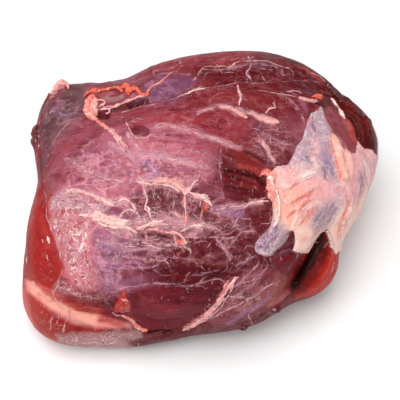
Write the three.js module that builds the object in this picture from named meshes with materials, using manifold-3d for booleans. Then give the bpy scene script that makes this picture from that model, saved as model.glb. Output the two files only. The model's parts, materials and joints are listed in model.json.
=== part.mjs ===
// A raw boneless leg roast of wild boar, lying with its outer side up, as one solid.
// Millimetres, +Z up, +X towards the end with the fat cap, -Y towards the front. The muscles
// are rounded masses that melt together. Seams are pressed into the skin and the fat cap stands
// proud of it, slits are cut, and flaps, strands and nubs are joined on. The origin is the
// middle of the base, which is flat where the roast sags onto the board.

import * as THREE from "three";
import { mergeVertices } from "three/addons/utils/BufferGeometryUtils.js";
import Module from "manifold-3d";

const wasm = await Module();
wasm.setup();

// Driving sizes.
const LENGTH = 240; // left end to right end
const DEPTH = 200; // front to back
const HEIGHT = 112; // board to the top of the dome
const MELT = 22; // how widely neighbouring muscles melt together
const FACE_ROWS = 18; // rows of faces on each side of the starting icosahedron

// The muscles. Places and half sizes are shares of LENGTH, DEPTH and HEIGHT, turn is in
// degrees about +Z, and square is 2 for an egg and more for a boxier mass.
const MUSCLES = [
  { name: "round", at: [-0.05, -0.01, 0.46], half: [0.39, 0.41, 0.55], turn: 0, square: 2.3 },
  { name: "backBand", at: [0.055, 0.325, 0.47], half: [0.36, 0.25, 0.455], turn: 8, square: 2.2 },
  { name: "capEnd", at: [0.245, 0.14, 0.46], half: [0.235, 0.28, 0.47], turn: 0, square: 2.2 },
  { name: "heel", at: [0.395, 0.24, 0.44], half: [0.11, 0.12, 0.28], turn: 0, square: 2.3 },
  { name: "bulb", at: [0.305, -0.175, 0.24], half: [0.08, 0.09, 0.19], turn: 40, square: 2.2 },
  { name: "leftFlank", at: [-0.35, -0.12, 0.31], half: [0.127, 0.3, 0.37], turn: -8, square: 2.4 },
  { name: "underFront", at: [-0.25, -0.27, 0.18], half: [0.215, 0.165, 0.22], turn: -4, square: 2.5 },
  { name: "frontLip", at: [0.06, -0.22, 0.22], half: [0.18, 0.15, 0.24], turn: 8, square: 2.3 },
  { name: "leftShoulder", at: [-0.35, 0.265, 0.49], half: [0.125, 0.17, 0.335], turn: -6, square: 2.6 },
];

// Every place below is [x, y, z] in millimetres, close to the skin.

// Seams between the muscles, pressed in to their depth and rounded over their width.
const SEAMS = [
  {
    name: "backSeam",
    depth: 5,
    width: 7.5,
    along: [[-75, 29, 99], [-52, 38, 103], [-9, 50, 108], [28, 62, 105], [59, 66, 101], [84, 73, 89]],
  },
  {
    name: "heelSeam",
    depth: 5,
    width: 7.5,
    along: [[84, 73, 89], [94, 54, 92], [104, 30, 87], [112, 24, 76]],
  },
  { name: "shoulderSeam", depth: 3.5, width: 7.5, along: [[-103, 15, 76], [-94, 28, 90], [-75, 29, 99]] },
  { name: "cornerSeam", depth: 3, width: 7.5, along: [[-75, 29, 99], [-80, 50, 96], [-86, 76, 90]] },
  {
    name: "flankSeam",
    depth: 3,
    width: 7.5,
    along: [[-102, -5, 78], [-97, -23, 82], [-90, -44, 82], [-87, -57, 76]],
  },
  {
    name: "lowSeam",
    depth: 4,
    width: 7.5,
    along: [[-112, -61, 54], [-85, -81, 54], [-51, -85, 46], [-20, -86, 38]],
  },
  {
    name: "frontSeam",
    depth: 3,
    width: 7.5,
    along: [[-6, -84, 44], [6, -83, 60], [20, -72, 84], [37, -63, 86]],
  },
  { name: "fissureBowl", depth: 3, width: 15, along: [[22, -16, 110], [38, -18, 106]] },
  { name: "pocketMouth", depth: 6, width: 8, along: [[79, -33, 70], [66, -52, 62], [56, -66, 52]] },
];

// The fat cap: its outline seen from above, its thickness and how softly its edge falls off.
const CAP = {
  thick: 2.4,
  edge: 4,
  outline: [
    [79, 47], [66, 22], [58, 1], [44, -8], [44, -29], [37, -56],
    [52, -50], [66, -47], [92, -26], [104, 0], [116, 28], [94, 15],
  ],
};

// Slits and strands are tapered ribbons along a line: wide is across the line and deep is into
// the meat, both from middle to rim, and out lifts the line clear of the skin.
const SLITS = [
  { name: "upperFissure", wide: 1.5, deep: 5, along: [[27, 3, 110], [33, -1, 109], [42, -5, 107]] },
  { name: "mainFissure", wide: 1.8, deep: 7, along: [[13, -13, 111], [28, -16, 109], [41, -20, 105]] },
  { name: "lowerFissure", wide: 1.8, deep: 6, along: [[13, -23, 111], [26, -26, 108], [38, -24, 106]] },
  {
    name: "pocket",
    wide: 3.2,
    deep: 17,
    along: [[81, -29, 72], [70, -45, 62], [62, -57, 52], [57, -66, 44]],
  },
  { name: "rightSlit", wide: 1.8, deep: 5, along: [[106, 1, 74], [105, -6, 66], [104, -13, 56]] },
  { name: "heelGap", wide: 2, deep: 7, along: [[96, 50, 91], [102, 38, 88], [106, 28, 84]] },
];

const STRANDS = [
  {
    name: "tornRim",
    wide: 2.6,
    deep: 2.4,
    out: 1.2,
    along: [[-71, 37, 99], [-76, 48, 97], [-73, 59, 95], [-62, 63, 95], [-50, 61, 97]],
  },
  {
    name: "tornKnots",
    wide: 2.8,
    deep: 2.6,
    out: 1.6,
    along: [[-54, 60, 97], [-47, 59, 99], [-42, 57, 101], [-33, 53, 104]],
  },
  {
    name: "tornStrip",
    wide: 2,
    deep: 2,
    out: 1.6,
    along: [[-73, 41, 98], [-66, 47, 98], [-60, 45, 99], [-47, 51, 101], [-42, 56, 101]],
  },
  {
    name: "backStrand",
    wide: 1.4,
    deep: 1.6,
    out: 0.6,
    along: [[-36, 53, 104], [-29, 62, 103], [-18, 71, 103]],
  },
  {
    name: "cordRidge",
    wide: 3,
    deep: 3.4,
    out: 1,
    along: [[83, 25, 100], [91, 14, 96], [93, 3, 91], [94, -7, 85]],
  },
  {
    name: "lowerRidge",
    wide: 2.8,
    deep: 3,
    out: 0.6,
    along: [[94, -8, 84], [98, -12, 74], [96, -18, 68], [91, -28, 57]],
  },
  {
    name: "capStrand",
    wide: 1.3,
    deep: 1.6,
    out: 0.6,
    along: [[47, -5, 106], [45, -18, 105], [45, -30, 101], [46, -42, 97], [42, -48, 95]],
  },
  {
    name: "redTongue",
    wide: 5.5,
    deep: 2.2,
    out: 1.4,
    along: [[-46, -74, 78], [-47, -78, 70], [-49, -81, 60], [-51, -83, 50]],
  },
  {
    name: "tongueDrip",
    wide: 1.4,
    deep: 1.6,
    out: 0.6,
    along: [[-48, -81, 54], [-41, -84, 46], [-36, -85, 40]],
  },
  {
    name: "diagonalStrand",
    wide: 1.6,
    deep: 1.6,
    out: 0.4,
    along: [[-12, -85, 34], [6, -83, 60], [14, -78, 75], [20, -72, 84]],
  },
];

// Small tags of meat and fat that stand out of the skin: reach is how far, size is half across.
const NUBS = [
  { name: "leftNub", at: [-112, 38, 72], size: 5, reach: 6 },
  { name: "cornerLump", at: [-97, 74, 86], size: 6.5, reach: 6 },
  { name: "lowerNub", at: [29, -80, 26], size: 5, reach: 6 },
  { name: "lowerRightNub", at: [51, -70, 34], size: 5.5, reach: 6 },
  { name: "heelNub", at: [100, 62, 82], size: 6.5, reach: 5 },
];

const inPlace = ([x, y, z]) => new THREE.Vector3(x * LENGTH, y * DEPTH, z * HEIGHT);
const point = ([x, y, z]) => new THREE.Vector3(x, y, z);

const masses = MUSCLES.map((muscle) => ({
  centre: inPlace(muscle.at),
  half: inPlace(muscle.half),
  turn: THREE.MathUtils.degToRad(muscle.turn),
  square: muscle.square,
}));

// Signed distance from a place to one mass, close enough near its skin.
function massDistance(place, { centre, half, turn, square }) {
  const x = place.x - centre.x;
  const y = place.y - centre.y;
  const z = place.z - centre.z;
  const along = (x * Math.cos(turn) + y * Math.sin(turn)) / half.x;
  const across = (y * Math.cos(turn) - x * Math.sin(turn)) / half.y;
  const sum = Math.abs(along) ** square + Math.abs(across) ** square + Math.abs(z / half.z) ** square;
  const level = Math.max(sum ** (1 / square), 1e-6);
  return Math.hypot(x, y, z) * (1 - 1 / level);
}

// The smaller of two distances, rounded where they meet.
function meltedMin(a, b, width) {
  const near = Math.max(width - Math.abs(a - b), 0) / width;
  return Math.min(a, b) - (near * near * width) / 4;
}

// How far the seams press the skin in at a place.
const seamLines = SEAMS.map(({ depth, width, along }) => ({
  depth,
  width,
  spots: new THREE.CatmullRomCurve3(along.map(point)).getPoints(6 * along.length),
}));

function pressedIn(place) {
  let total = 0;
  for (const { depth, width, spots } of seamLines) {
    const gap = Math.min(...spots.map((spot) => spot.distanceToSquared(place)));
    total += depth * Math.exp(-gap / (width * width));
  }
  return total;
}

// How far the fat cap stands out at a place: its full thickness well inside the outline.
function capRise({ x, y, z }) {
  if (z < HEIGHT / 3) return 0;
  let inside = false;
  let rim = Infinity;
  CAP.outline.forEach(([ax, ay], i) => {
    const [bx, by] = CAP.outline[(i + 1) % CAP.outline.length];
    const share = ((x - ax) * (bx - ax) + (y - ay) * (by - ay)) / ((bx - ax) ** 2 + (by - ay) ** 2);
    const t = THREE.MathUtils.clamp(share, 0, 1);
    rim = Math.min(rim, Math.hypot(ax + t * (bx - ax) - x, ay + t * (by - ay) - y));
    if (ay > y !== by > y && x < ax + ((y - ay) / (by - ay)) * (bx - ax)) inside = !inside;
  });
  return CAP.thick * THREE.MathUtils.smoothstep(inside ? rim : -rim, -CAP.edge, CAP.edge);
}

function meatDistance(place) {
  const merged = masses.reduce((far, mass) => meltedMin(far, massDistance(place, mass), MELT), 1e3);
  if (Math.abs(merged) > 2 * MELT) return merged;
  return Math.max(merged + pressedIn(place) - capRise(place), -place.z);
}

// The outermost place where a ray from the core leaves the meat.
const CORE = inPlace([0, 0, 0.42]);
const REACH = 200;
const STEP = 2;

function skinPoint(direction) {
  const at = (r) => CORE.clone().addScaledVector(direction, r);
  let outside = REACH;
  while (outside > STEP && meatDistance(at(outside - STEP)) > 0) outside -= STEP;
  let inside = outside - STEP;
  for (let i = 0; i < 16; i++) {
    const middle = (inside + outside) / 2;
    if (meatDistance(at(middle)) > 0) outside = middle;
    else inside = middle;
  }
  return at(inside);
}

const outFrom = (place) => place.clone().sub(CORE).normalize();
const onSkin = (place) => skinPoint(outFrom(point(place)));

function solid(geometry) {
  geometry.deleteAttribute("normal");
  geometry.deleteAttribute("uv");
  const merged = mergeVertices(geometry, 1e-5);
  const vertProperties = new Float32Array(merged.attributes.position.array);
  const triVerts = new Uint32Array(merged.index.array);
  return new wasm.Manifold(new wasm.Mesh({ numProp: 3, vertProperties, triVerts }));
}

// The body: an icosahedron's directions, spread like the roast, carried out to the skin.
function body() {
  const ball = new THREE.IcosahedronGeometry(1, FACE_ROWS);
  const places = ball.attributes.position;
  const spread = new THREE.Vector3(LENGTH, DEPTH, HEIGHT);
  const direction = new THREE.Vector3();
  const found = new Map();
  for (let i = 0; i < places.count; i++) {
    direction.fromBufferAttribute(places, i);
    const key = direction.toArray().map((v) => v.toFixed(5)).join();
    if (!found.has(key)) found.set(key, skinPoint(direction.multiply(spread).normalize()));
    const skin = found.get(key);
    places.setXYZ(i, skin.x, skin.y, skin.z < 0.05 ? 0 : skin.z);
  }
  return solid(ball);
}

// A tapered ribbon with an oval section along a line that lies on the skin.
const RIBBON_SIDES = 6;
const STEPS_EACH = 2;

function ribbon({ along, wide, deep, out = 0 }) {
  const skinLine = along.map(onSkin);
  const line = new THREE.CatmullRomCurve3(skinLine.map((skin) => skin.addScaledVector(outFrom(skin), out)));
  const steps = STEPS_EACH * along.length;
  const corners = [];
  const faces = [];
  for (let i = 0; i <= steps; i++) {
    const t = i / steps;
    const middle = line.getPoint(t);
    const side = line.getTangent(t).cross(outFrom(middle)).normalize();
    const up = outFrom(middle);
    const full = Math.max(1 - Math.abs(2 * t - 1) ** 2.5, 0.04) ** 0.5;
    for (let j = 0; j < RIBBON_SIDES; j++) {
      const angle = (j / RIBBON_SIDES) * 2 * Math.PI;
      const corner = middle.clone().addScaledVector(side, Math.cos(angle) * wide * full);
      corner.addScaledVector(up, Math.sin(angle) * deep * full);
      corners.push(...corner.toArray());
      const next = (j + 1) % RIBBON_SIDES;
      const here = i * RIBBON_SIDES;
      if (i < steps) {
        faces.push(here + j, here + RIBBON_SIDES + next, here + next);
        faces.push(here + j, here + RIBBON_SIDES + j, here + RIBBON_SIDES + next);
      }
    }
  }
  const last = steps * RIBBON_SIDES;
  for (let j = 1; j < RIBBON_SIDES - 1; j++) {
    faces.push(0, j, j + 1);
    faces.push(last, last + j + 1, last + j);
  }
  const shape = new THREE.BufferGeometry();
  shape.setAttribute("position", new THREE.Float32BufferAttribute(corners, 3));
  shape.setIndex(faces);
  return solid(shape);
}

// An egg mostly sunk in the skin.
function nub({ at, size, reach }) {
  const skin = onSkin(at);
  skin.addScaledVector(outFrom(skin), -size / 2);
  const egg = new THREE.IcosahedronGeometry(1, 1);
  const turn = new THREE.Quaternion().setFromUnitVectors(new THREE.Vector3(0, 0, 1), outFrom(skin));
  egg.applyMatrix4(new THREE.Matrix4().compose(skin, turn, new THREE.Vector3(size, size, reach)));
  return solid(egg);
}

function roastGeometry() {
  let whole = body();
  for (const slit of SLITS) whole = whole.subtract(ribbon(slit));
  for (const strand of STRANDS) whole = whole.add(ribbon(strand));
  for (const tag of NUBS) whole = whole.add(nub(tag));
  const mesh = whole.getMesh();
  const shape = new THREE.BufferGeometry();
  shape.setAttribute("position", new THREE.Float32BufferAttribute(mesh.vertProperties, 3));
  shape.setIndex([...mesh.triVerts]);
  shape.computeBoundingBox();
  const middle = shape.boundingBox.getCenter(new THREE.Vector3());
  return shape.translate(-middle.x, -middle.y, 0);
}

const meat = new THREE.MeshStandardMaterial({ color: 0x8e3338, roughness: 0.35, metalness: 0 });
const roast = new THREE.Mesh(roastGeometry(), meat);
roast.name = "roast";

const part = new THREE.Group();
part.add(roast);
export default part;
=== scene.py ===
import itertools
import json
import math
import random

import bpy
import numpy as np
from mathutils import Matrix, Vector
from mathutils.bvhtree import BVHTree
from mathutils.kdtree import KDTree

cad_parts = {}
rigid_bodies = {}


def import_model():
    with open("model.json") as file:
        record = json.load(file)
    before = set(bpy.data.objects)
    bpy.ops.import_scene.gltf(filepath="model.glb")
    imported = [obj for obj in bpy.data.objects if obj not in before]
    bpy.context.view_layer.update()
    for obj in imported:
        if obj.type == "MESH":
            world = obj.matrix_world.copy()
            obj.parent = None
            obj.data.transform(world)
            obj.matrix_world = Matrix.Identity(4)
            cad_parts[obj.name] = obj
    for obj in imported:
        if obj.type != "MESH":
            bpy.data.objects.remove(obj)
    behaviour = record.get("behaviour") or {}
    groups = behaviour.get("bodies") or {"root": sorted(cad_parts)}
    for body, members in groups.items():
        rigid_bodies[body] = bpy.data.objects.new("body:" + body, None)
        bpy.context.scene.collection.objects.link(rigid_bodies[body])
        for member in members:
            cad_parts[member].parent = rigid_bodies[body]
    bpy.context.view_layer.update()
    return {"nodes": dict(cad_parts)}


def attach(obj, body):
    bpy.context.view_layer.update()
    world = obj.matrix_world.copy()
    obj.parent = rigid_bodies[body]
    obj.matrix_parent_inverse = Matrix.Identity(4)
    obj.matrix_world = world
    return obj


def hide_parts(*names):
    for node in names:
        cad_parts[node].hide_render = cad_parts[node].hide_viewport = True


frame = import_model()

mm = 0.001

# Colours are written from 0 to 255, as a colour picker shows them.
palette = {
    # bare muscle
    "maroon": (78, 16, 22), "garnet": (92, 20, 24), "crimson": (110, 20, 32), "ruby": (112, 24, 28),
    "claret": (94, 24, 30), "cocoa": (86, 14, 10), "brick": (144, 40, 38), "blood": (150, 32, 28),
    # the last of these, a near-black brown, is mostly for painted shade in the grooves and the pocket
    "wine": (138, 46, 54), "rust": (166, 58, 48), "scarlet": (172, 32, 16), "shadeBrown": (42, 9, 7),
    # muscle under film
    "clay": (106, 68, 66), "dusk": (96, 64, 72), "grape": (112, 64, 92), "plum": (124, 60, 70),
    "rosewood": (142, 66, 76), "raspberry": (142, 62, 76), "orchid": (164, 86, 104), "mauve": (142, 80, 106),
    "lilac": (146, 102, 138), "steel": (132, 118, 150), "berry": (146, 70, 80), "ash": (166, 126, 122),
    "veil": (206, 138, 160), "rose": (188, 100, 108), "coral": (188, 80, 70),
    # fat
    "salmon": (234, 134, 122), "orange": (226, 98, 74), "peach": (240, 172, 152), "cream": (242, 198, 186),
    "shell": (234, 166, 160), "blush": (230, 168, 172), "iris": (204, 164, 192), "bone": (248, 222, 214),
    "pearl": (176, 148, 160), "haze": (170, 138, 154), "tan": (196, 130, 112), "sienna": (148, 70, 58),
    "slate": (112, 96, 124),
}


def hue(name):
    return np.array([((c / 255 + 0.055) / 1.055) ** 2.4 for c in palette[name]])


# The camera, at the photo's angle.
cameraValues = {
    "elevation": 58,                        # degrees above the floor
    "lens": 85,
    "sensor": 36,
    "distance": 0.634,
    "target": (-0.00244, -0.0139, 0.057),
    "pixels": 400,                          # width and height of the photo
    "pixelSize": 0.67,                      # mm of meat that one of them shows
}
tilt = math.radians(cameraValues["elevation"])
lookDown = Vector((0, math.cos(tilt), -math.sin(tilt)))
lookUp = Vector((0, math.sin(tilt), math.cos(tilt)))
eye = Vector(cameraValues["target"]) - lookDown * cameraValues["distance"]
focal = cameraValues["lens"] / cameraValues["sensor"] * cameraValues["pixels"]
middle = cameraValues["pixels"] / 2

camera = bpy.data.objects.new("camera", bpy.data.cameras.new("camera"))
bpy.context.scene.collection.objects.link(camera)
camera.location = eye
camera.rotation_euler = (math.pi / 2 - tilt, 0, 0)
camera.data.lens = cameraValues["lens"]
camera.data.sensor_width = cameraValues["sensor"]
bpy.context.scene.camera = camera
print("camera placed")


# Small tools that all the pieces use.
def pickOnly(piece):
    bpy.ops.object.select_all(action="DESELECT")
    piece.select_set(True)
    bpy.context.view_layer.objects.active = piece


def applied(piece, kind, **settings):
    # adds one modifier and applies it
    pickOnly(piece)
    modifier = piece.modifiers.new("step", kind)
    for key, value in settings.items():
        setattr(modifier, key, value)
    bpy.ops.object.modifier_apply(modifier="step")


def places(piece):
    flat = np.zeros(len(piece.data.vertices) * 3)
    piece.data.vertices.foreach_get("co", flat)
    return flat.reshape(-1, 3)


def normals(piece):
    flat = np.zeros(len(piece.data.vertices) * 3)
    piece.data.vertices.foreach_get("normal", flat)
    return flat.reshape(-1, 3)


def storePlaces(piece, where):
    piece.data.vertices.foreach_set("co", where.astype(np.float32).ravel())
    piece.data.update()


def storeNumber(piece, name, values):
    layer = piece.data.attributes.new(name, "FLOAT", "POINT")
    layer.data.foreach_set("value", values.astype(np.float32))


def storeColour(piece, name, values):
    layer = piece.data.attributes.new(name, "FLOAT_COLOR", "POINT")
    full = np.ones((len(values), 4), np.float32)
    full[:, :3] = values
    layer.data.foreach_set("color", full.ravel())


def storeVector(piece, name, values):
    layer = piece.data.attributes.new(name, "FLOAT_VECTOR", "POINT")
    layer.data.foreach_set("vector", values.astype(np.float32).ravel())


def ease(low, high, x):
    # 0 below low, 1 above high, smooth between
    t = np.clip((x - low) / (high - low), 0, 1)
    return t * t * (3 - 2 * t)


def cloud(where, size, seed=0):
    # smooth random numbers from 0 to 1, one for each place, that change over the given size
    p = where / size + seed * 17.31
    cell = np.floor(p).astype(np.int64)
    part = p - cell
    part = part * part * (3 - 2 * part)
    total = np.zeros(len(where))
    for corner in itertools.product((0, 1), repeat=3):
        c = cell + np.array(corner)
        key = (c[:, 0] * 73856093) ^ (c[:, 1] * 19349663) ^ (c[:, 2] * 83492791)
        key = ((key ^ (key >> 13)) * 1274126177) & 0xFFFFFFFF
        value = ((key ^ (key >> 16)) & 65535) / 65535
        share = np.where(corner, part, 1 - part).prod(1)
        total += value * share
    return total


def clouds(where, size, seed=0, octaves=3):
    total, weight = 0, 0
    for octave in range(octaves):
        total = total + cloud(where, size / 2 ** octave, seed + octave * 3) / 2 ** octave
        weight += 1 / 2 ** octave
    return total / weight


def halfWidth(pixels):
    # half the width of a stroke, in millimetres
    return pixels * cameraValues["pixelSize"] / 2


def fading(along, ends, past=0.03):
    # 1 along a stroke, and 0 past its two ends
    return ease(0, ends, along + past) * ease(0, ends, 1 + past - along)


def stain(paint, near, colour, share):
    # blends a colour into some of the vertices
    share = share[:, None]
    paint[near] = paint[near] * (1 - share) + hue(colour) * share


def rounded(points, step):
    # a soft curve through given points
    p = np.array(points, float)
    p = np.vstack([2 * p[0] - p[1], p, 2 * p[-1] - p[-2]])
    line = []
    for a, b, c, d in zip(p, p[1:], p[2:], p[3:]):
        count = max(2, int(round(np.linalg.norm(c - b) / step)))
        t = np.linspace(0, 1, count, endpoint=False)[:, None]
        line.append(0.5 * (2 * b + (c - a) * t + (2 * a - 5 * b + 4 * c - d) * t ** 2
                           + (3 * b - a - 3 * c + d) * t ** 3))
    return np.vstack([*line, p[-2:-1]])


# The body of meat, remeshed from the CAD's solid and smoothed.
bodyValues = {
    "voxel": 1.1 * mm,         # size of the remeshed squares
    "firstPasses": 6,          # smoothing that every form gets
    "morePasses": 30,          # smoothing that melts the facets away
    "keptForms": (0.25, 1.0),  # mm of movement in those passes past which a form is kept
    "unseen": 0.12,            # how far a face turns away before the photo's view misses it
    "coarsening": 0.25,        # share of faces kept there
    "axis": (0.0, 0.040),      # y and z of the line that the fibres run round
    "round": (30, 55),         # mm off that line: least, and where the fibres are at their true size
}

meat = bpy.data.objects.new("roastMeat", frame["nodes"]["roast"].data.copy())
bpy.context.scene.collection.objects.link(meat)
meat.data.materials.clear()
pickOnly(meat)
bpy.ops.object.mode_set(mode="EDIT")
bpy.ops.mesh.select_all(action="SELECT")
bpy.ops.mesh.remove_doubles(threshold=0.001 * mm)
bpy.ops.object.mode_set(mode="OBJECT")
applied(meat, "REMESH", mode="VOXEL", voxel_size=bodyValues["voxel"])
applied(meat, "SMOOTH", factor=0.5, iterations=bodyValues["firstPasses"])
sharp = places(meat)
applied(meat, "SMOOTH", factor=0.5, iterations=bodyValues["morePasses"])
moved = np.linalg.norm(places(meat) - sharp, axis=1) / mm
kept = ease(*bodyValues["keptForms"], moved)[:, None]
storePlaces(meat, sharp * kept + places(meat) * (1 - kept))
applied(meat, "SMOOTH", factor=0.5, iterations=2)

facing = np.zeros(len(meat.data.polygons) * 3)
meat.data.polygons.foreach_get("normal", facing)
unseen = facing.reshape(-1, 3) @ np.array(lookDown) > bodyValues["unseen"]
meat.data.vertices.foreach_set("select", np.zeros(len(meat.data.vertices), bool))
meat.data.edges.foreach_set("select", np.zeros(len(meat.data.edges), bool))
meat.data.polygons.foreach_set("select", unseen)
bpy.ops.object.mode_set(mode="EDIT")
bpy.ops.mesh.select_mode(type="FACE")
bpy.ops.mesh.decimate(ratio=bodyValues["coarsening"])
bpy.ops.mesh.select_all(action="SELECT")
bpy.ops.mesh.normals_make_consistent(inside=False)
bpy.ops.object.mode_set(mode="OBJECT")
print("body:", len(meat.data.vertices), "vertices")

skin = places(meat) / mm       # millimetres from here on, for the painting
skinNormals = normals(meat)
tree = BVHTree.FromObject(meat, bpy.context.evaluated_depsgraph_get())


def onPhoto(x, y):
    # the place on the meat that shows at a pixel of the photo
    ray = lookDown + Vector((1, 0, 0)) * ((x - middle) / focal) + lookUp * ((middle - y) / focal)
    hit = tree.ray_cast(eye, ray.normalized())[0]
    return hit or tree.find_nearest(eye + ray * cameraValues["distance"])[0]


def aroundAxis(x, turn):
    # the place at x mm along the roast, turned from the top towards the back, in degrees
    angle = math.radians(turn)
    outward = Vector((0, math.sin(angle), math.cos(angle)))
    start = Vector((x * mm, bodyValues["axis"][0], bodyValues["axis"][1])) + outward * 0.3
    return tree.ray_cast(start, -outward)[0]


def traced(points, find, step=1.6):
    # a route over the meat in millimetres, through given places
    found = [find(*p) for p in rounded(points, step)]
    return np.array([p for p in found if p is not None]) / mm


def distanceTo(route, far):
    # which vertices lie near a route, how far off in millimetres, and how far along it from 0 to 1
    low, high = route.min(0) - far, route.max(0) + far
    near = np.nonzero(((skin > low) & (skin < high)).all(1))[0]
    spot = skin[near]
    best, along = np.full(len(near), 1e9), np.zeros(len(near))
    total = len(route) - 1
    for i in range(total):
        a, run = route[i], route[i + 1] - route[i]
        length = max(run @ run, 1e-9)
        t = np.clip((spot - a) @ run / length, 0, 1)
        d = np.linalg.norm(spot - a - t[:, None] * run, axis=1)
        closer = d < best
        best[closer] = d[closer]
        along[closer] = (i + t[closer]) / total
    kept = best < far
    return near[kept], best[kept], along[kept]


# Soft colour zones: a named part of the meat, its pixel in the photo, its reach in mm and its colour.
zones = {
    "cornerBack": (62, 104, 13, "clay"), "cornerBlue": (52, 118, 9, "dusk"),
    "backLeft": (122, 90, 13, "rosewood"), "backBlue": (164, 90, 10, "grape"),
    "backMiddle": (212, 74, 15, "garnet"), "backRight": (282, 70, 16, "garnet"),
    "backGrey": (262, 58, 7, "dusk"), "backBright": (226, 62, 7, "brick"), "heel": (358, 122, 15, "cocoa"),
    "roundTop": (196, 106, 20, "wine"), "roundRight": (262, 104, 16, "ruby"),
    "wedge": (344, 130, 9, "rust"), "fibrous": (282, 138, 13, "plum"), "fissures": (244, 178, 14, "garnet"),
    "roundMiddle": (176, 150, 16, "orchid"), "roundHaze": (150, 168, 12, "orchid"),
    "roundLeft": (104, 172, 16, "orchid"), "leftTop": (72, 146, 14, "raspberry"),
    "leftEdge": (42, 180, 9, "wine"), "wetPatch": (78, 240, 14, "rose"), "flank": (38, 244, 14, "blood"),
    "flankLow": (40, 305, 12, "coral"), "middleHaze": (112, 236, 10, "mauve"),
    "lowMauve": (128, 264, 13, "mauve"), "lowDark": (192, 264, 18, "garnet"),
    "lowDarker": (202, 298, 14, "maroon"), "lowMiddle": (146, 304, 14, "crimson"),
    "lowRight": (250, 250, 13, "claret"), "lowFront": (252, 300, 11, "berry"),
    "lobe": (286, 266, 8, "maroon"), "bulb": (316, 274, 12, "scarlet"), "underside": (104, 346, 7, "ash"),
    "web": (168, 206, 14, "claret"), "flankEdge": (62, 322, 10, "blood"),
    "roundFar": (226, 128, 12, "wine"), "underCap": (222, 206, 9, "plum"),
}
# The same for the sides that the photo doesn't show: mm along, degrees round, reach and colour.
hiddenZones = {
    "backUpper": (0, 62, 26, "wine"), "backLower": (-20, 98, 26, "ruby"), "backEnd": (80, 80, 24, "garnet"),
    "backFilm": (-60, 80, 20, "mauve"), "backFar": (40, 110, 22, "wine"), "floorSide": (0, 180, 34, "wine"),
    "frontUnder": (20, 260, 26, "garnet"), "leftEndLow": (-112, 120, 26, "brick"),
}
zoneDrift = {"size": 22, "push": 26, "seeds": (1, 2, 3)}       # mm that the zones wander
capDrift = {"size": 9, "push": 12, "seeds": (21, 22, 23)}


def zoneColours(spots, drift):
    # a colour for each vertex, mixed from named spots
    moves = np.stack([clouds(skin, drift["size"], seed) for seed in drift["seeds"]], 1) - 0.5
    total, weight = np.zeros((len(skin), 3)), np.full(len(skin), 1e-9)
    for spot, reach, name in spots:
        d = np.linalg.norm(skin + moves * drift["push"] - np.array(spot) / mm, axis=1) / reach
        share = np.exp(-d * d) + 1e-4 / (1 + d ** 4)
        total += share[:, None] * hue(name)
        weight += share
    return total / weight[:, None]


offAxis = skin[:, 1:] - np.array(bodyValues["axis"]) / mm
reachOut = np.maximum(np.linalg.norm(offAxis, axis=1), bodyValues["round"][0])[:, None]
offAxis = offAxis / reachOut * bodyValues["round"][1]
grain = np.column_stack([skin[:, 0], offAxis])     # mm along the fibres and round them
# painted shade in the grooves and the pocket: how far into a groove, times its darkness
grooveShade = np.zeros(len(skin))          # how deep in a groove


def spread(spots, base):
    # a soft strength over the meat from named spots: pixel, reach in mm, strength
    value = np.full(len(skin), base)
    for x, y, reach, strength in spots.values():
        d = np.linalg.norm(skin - np.array(onPhoto(x, y)) / mm, axis=1) / reach
        value = np.maximum(value, strength * np.exp(-d * d))
    return value


# Where the milky film, the fine web of strands and the wrinkled wet skin lie.
filmSpots = {
    "centre": (150, 165, 22, 0.85), "left": (92, 176, 22, 0.75), "wet": (78, 245, 17, 0.8),
    "low": (112, 266, 15, 0.8), "web": (160, 220, 22, 0.5), "top": (180, 124, 18, 0.35),
    "back": (150, 88, 14, 0.45), "corner": (60, 110, 13, 0.4), "fibrous": (268, 142, 13, 0.4),
    "right": (240, 240, 13, 0.2), "front": (246, 304, 12, 0.2),
}
webSpots = {
    "centre": (168, 214, 27, 1.0), "left": (108, 202, 18, 0.9), "right": (236, 230, 15, 0.4),
    "front": (248, 300, 12, 0.35), "low": (150, 256, 18, 0.45), "top": (232, 112, 14, 0.3),
    "fibrous": (272, 140, 12, 0.4), "middle": (150, 165, 16, 0.5), "leftTop": (88, 158, 16, 0.7),
}
crinkleSpots = {
    "leftTop": (76, 212, 12, 0.7), "middle": (205, 165, 16, 0.5), "centre": (150, 162, 16, 0.4),
    "web": (176, 205, 18, 0.45), "low": (150, 236, 18, 0.35), "leftHigh": (92, 172, 14, 0.45),
}
coverValues = {
    "film": (0.07, 0.4),       # strength away from the spots, and on the sides that the photo doesn't show
    "web": (0.07, 0.6),
    "crinkle": 0.12,
}
film = spread(filmSpots, coverValues["film"][0])
web = spread(webSpots, coverValues["web"][0])
crinkle = spread(crinkleSpots, coverValues["crinkle"])
calm = np.zeros(len(skin))         # how far the fibres are hidden
unseenSide = ease(-0.1, 0.4, skinNormals @ np.array(lookDown))
film = np.maximum(film, unseenSide * coverValues["film"][1])
web = np.maximum(web, unseenSide * coverValues["web"][1])
zoneSpots = [(onPhoto(x, y), reach, name) for x, y, reach, name in zones.values()]
zoneSpots += [(aroundAxis(x, turn), reach, name) for x, turn, reach, name in hiddenZones.values()]
tint = zoneColours(zoneSpots, zoneDrift)
height = np.zeros(len(skin))       # relief in millimetres
fat = np.zeros(len(skin))          # from 0, none, to 1, the middle of a fat patch or strand
fatTint = np.tile(hue("shell"), (len(skin), 1))
print("zones painted")

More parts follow.
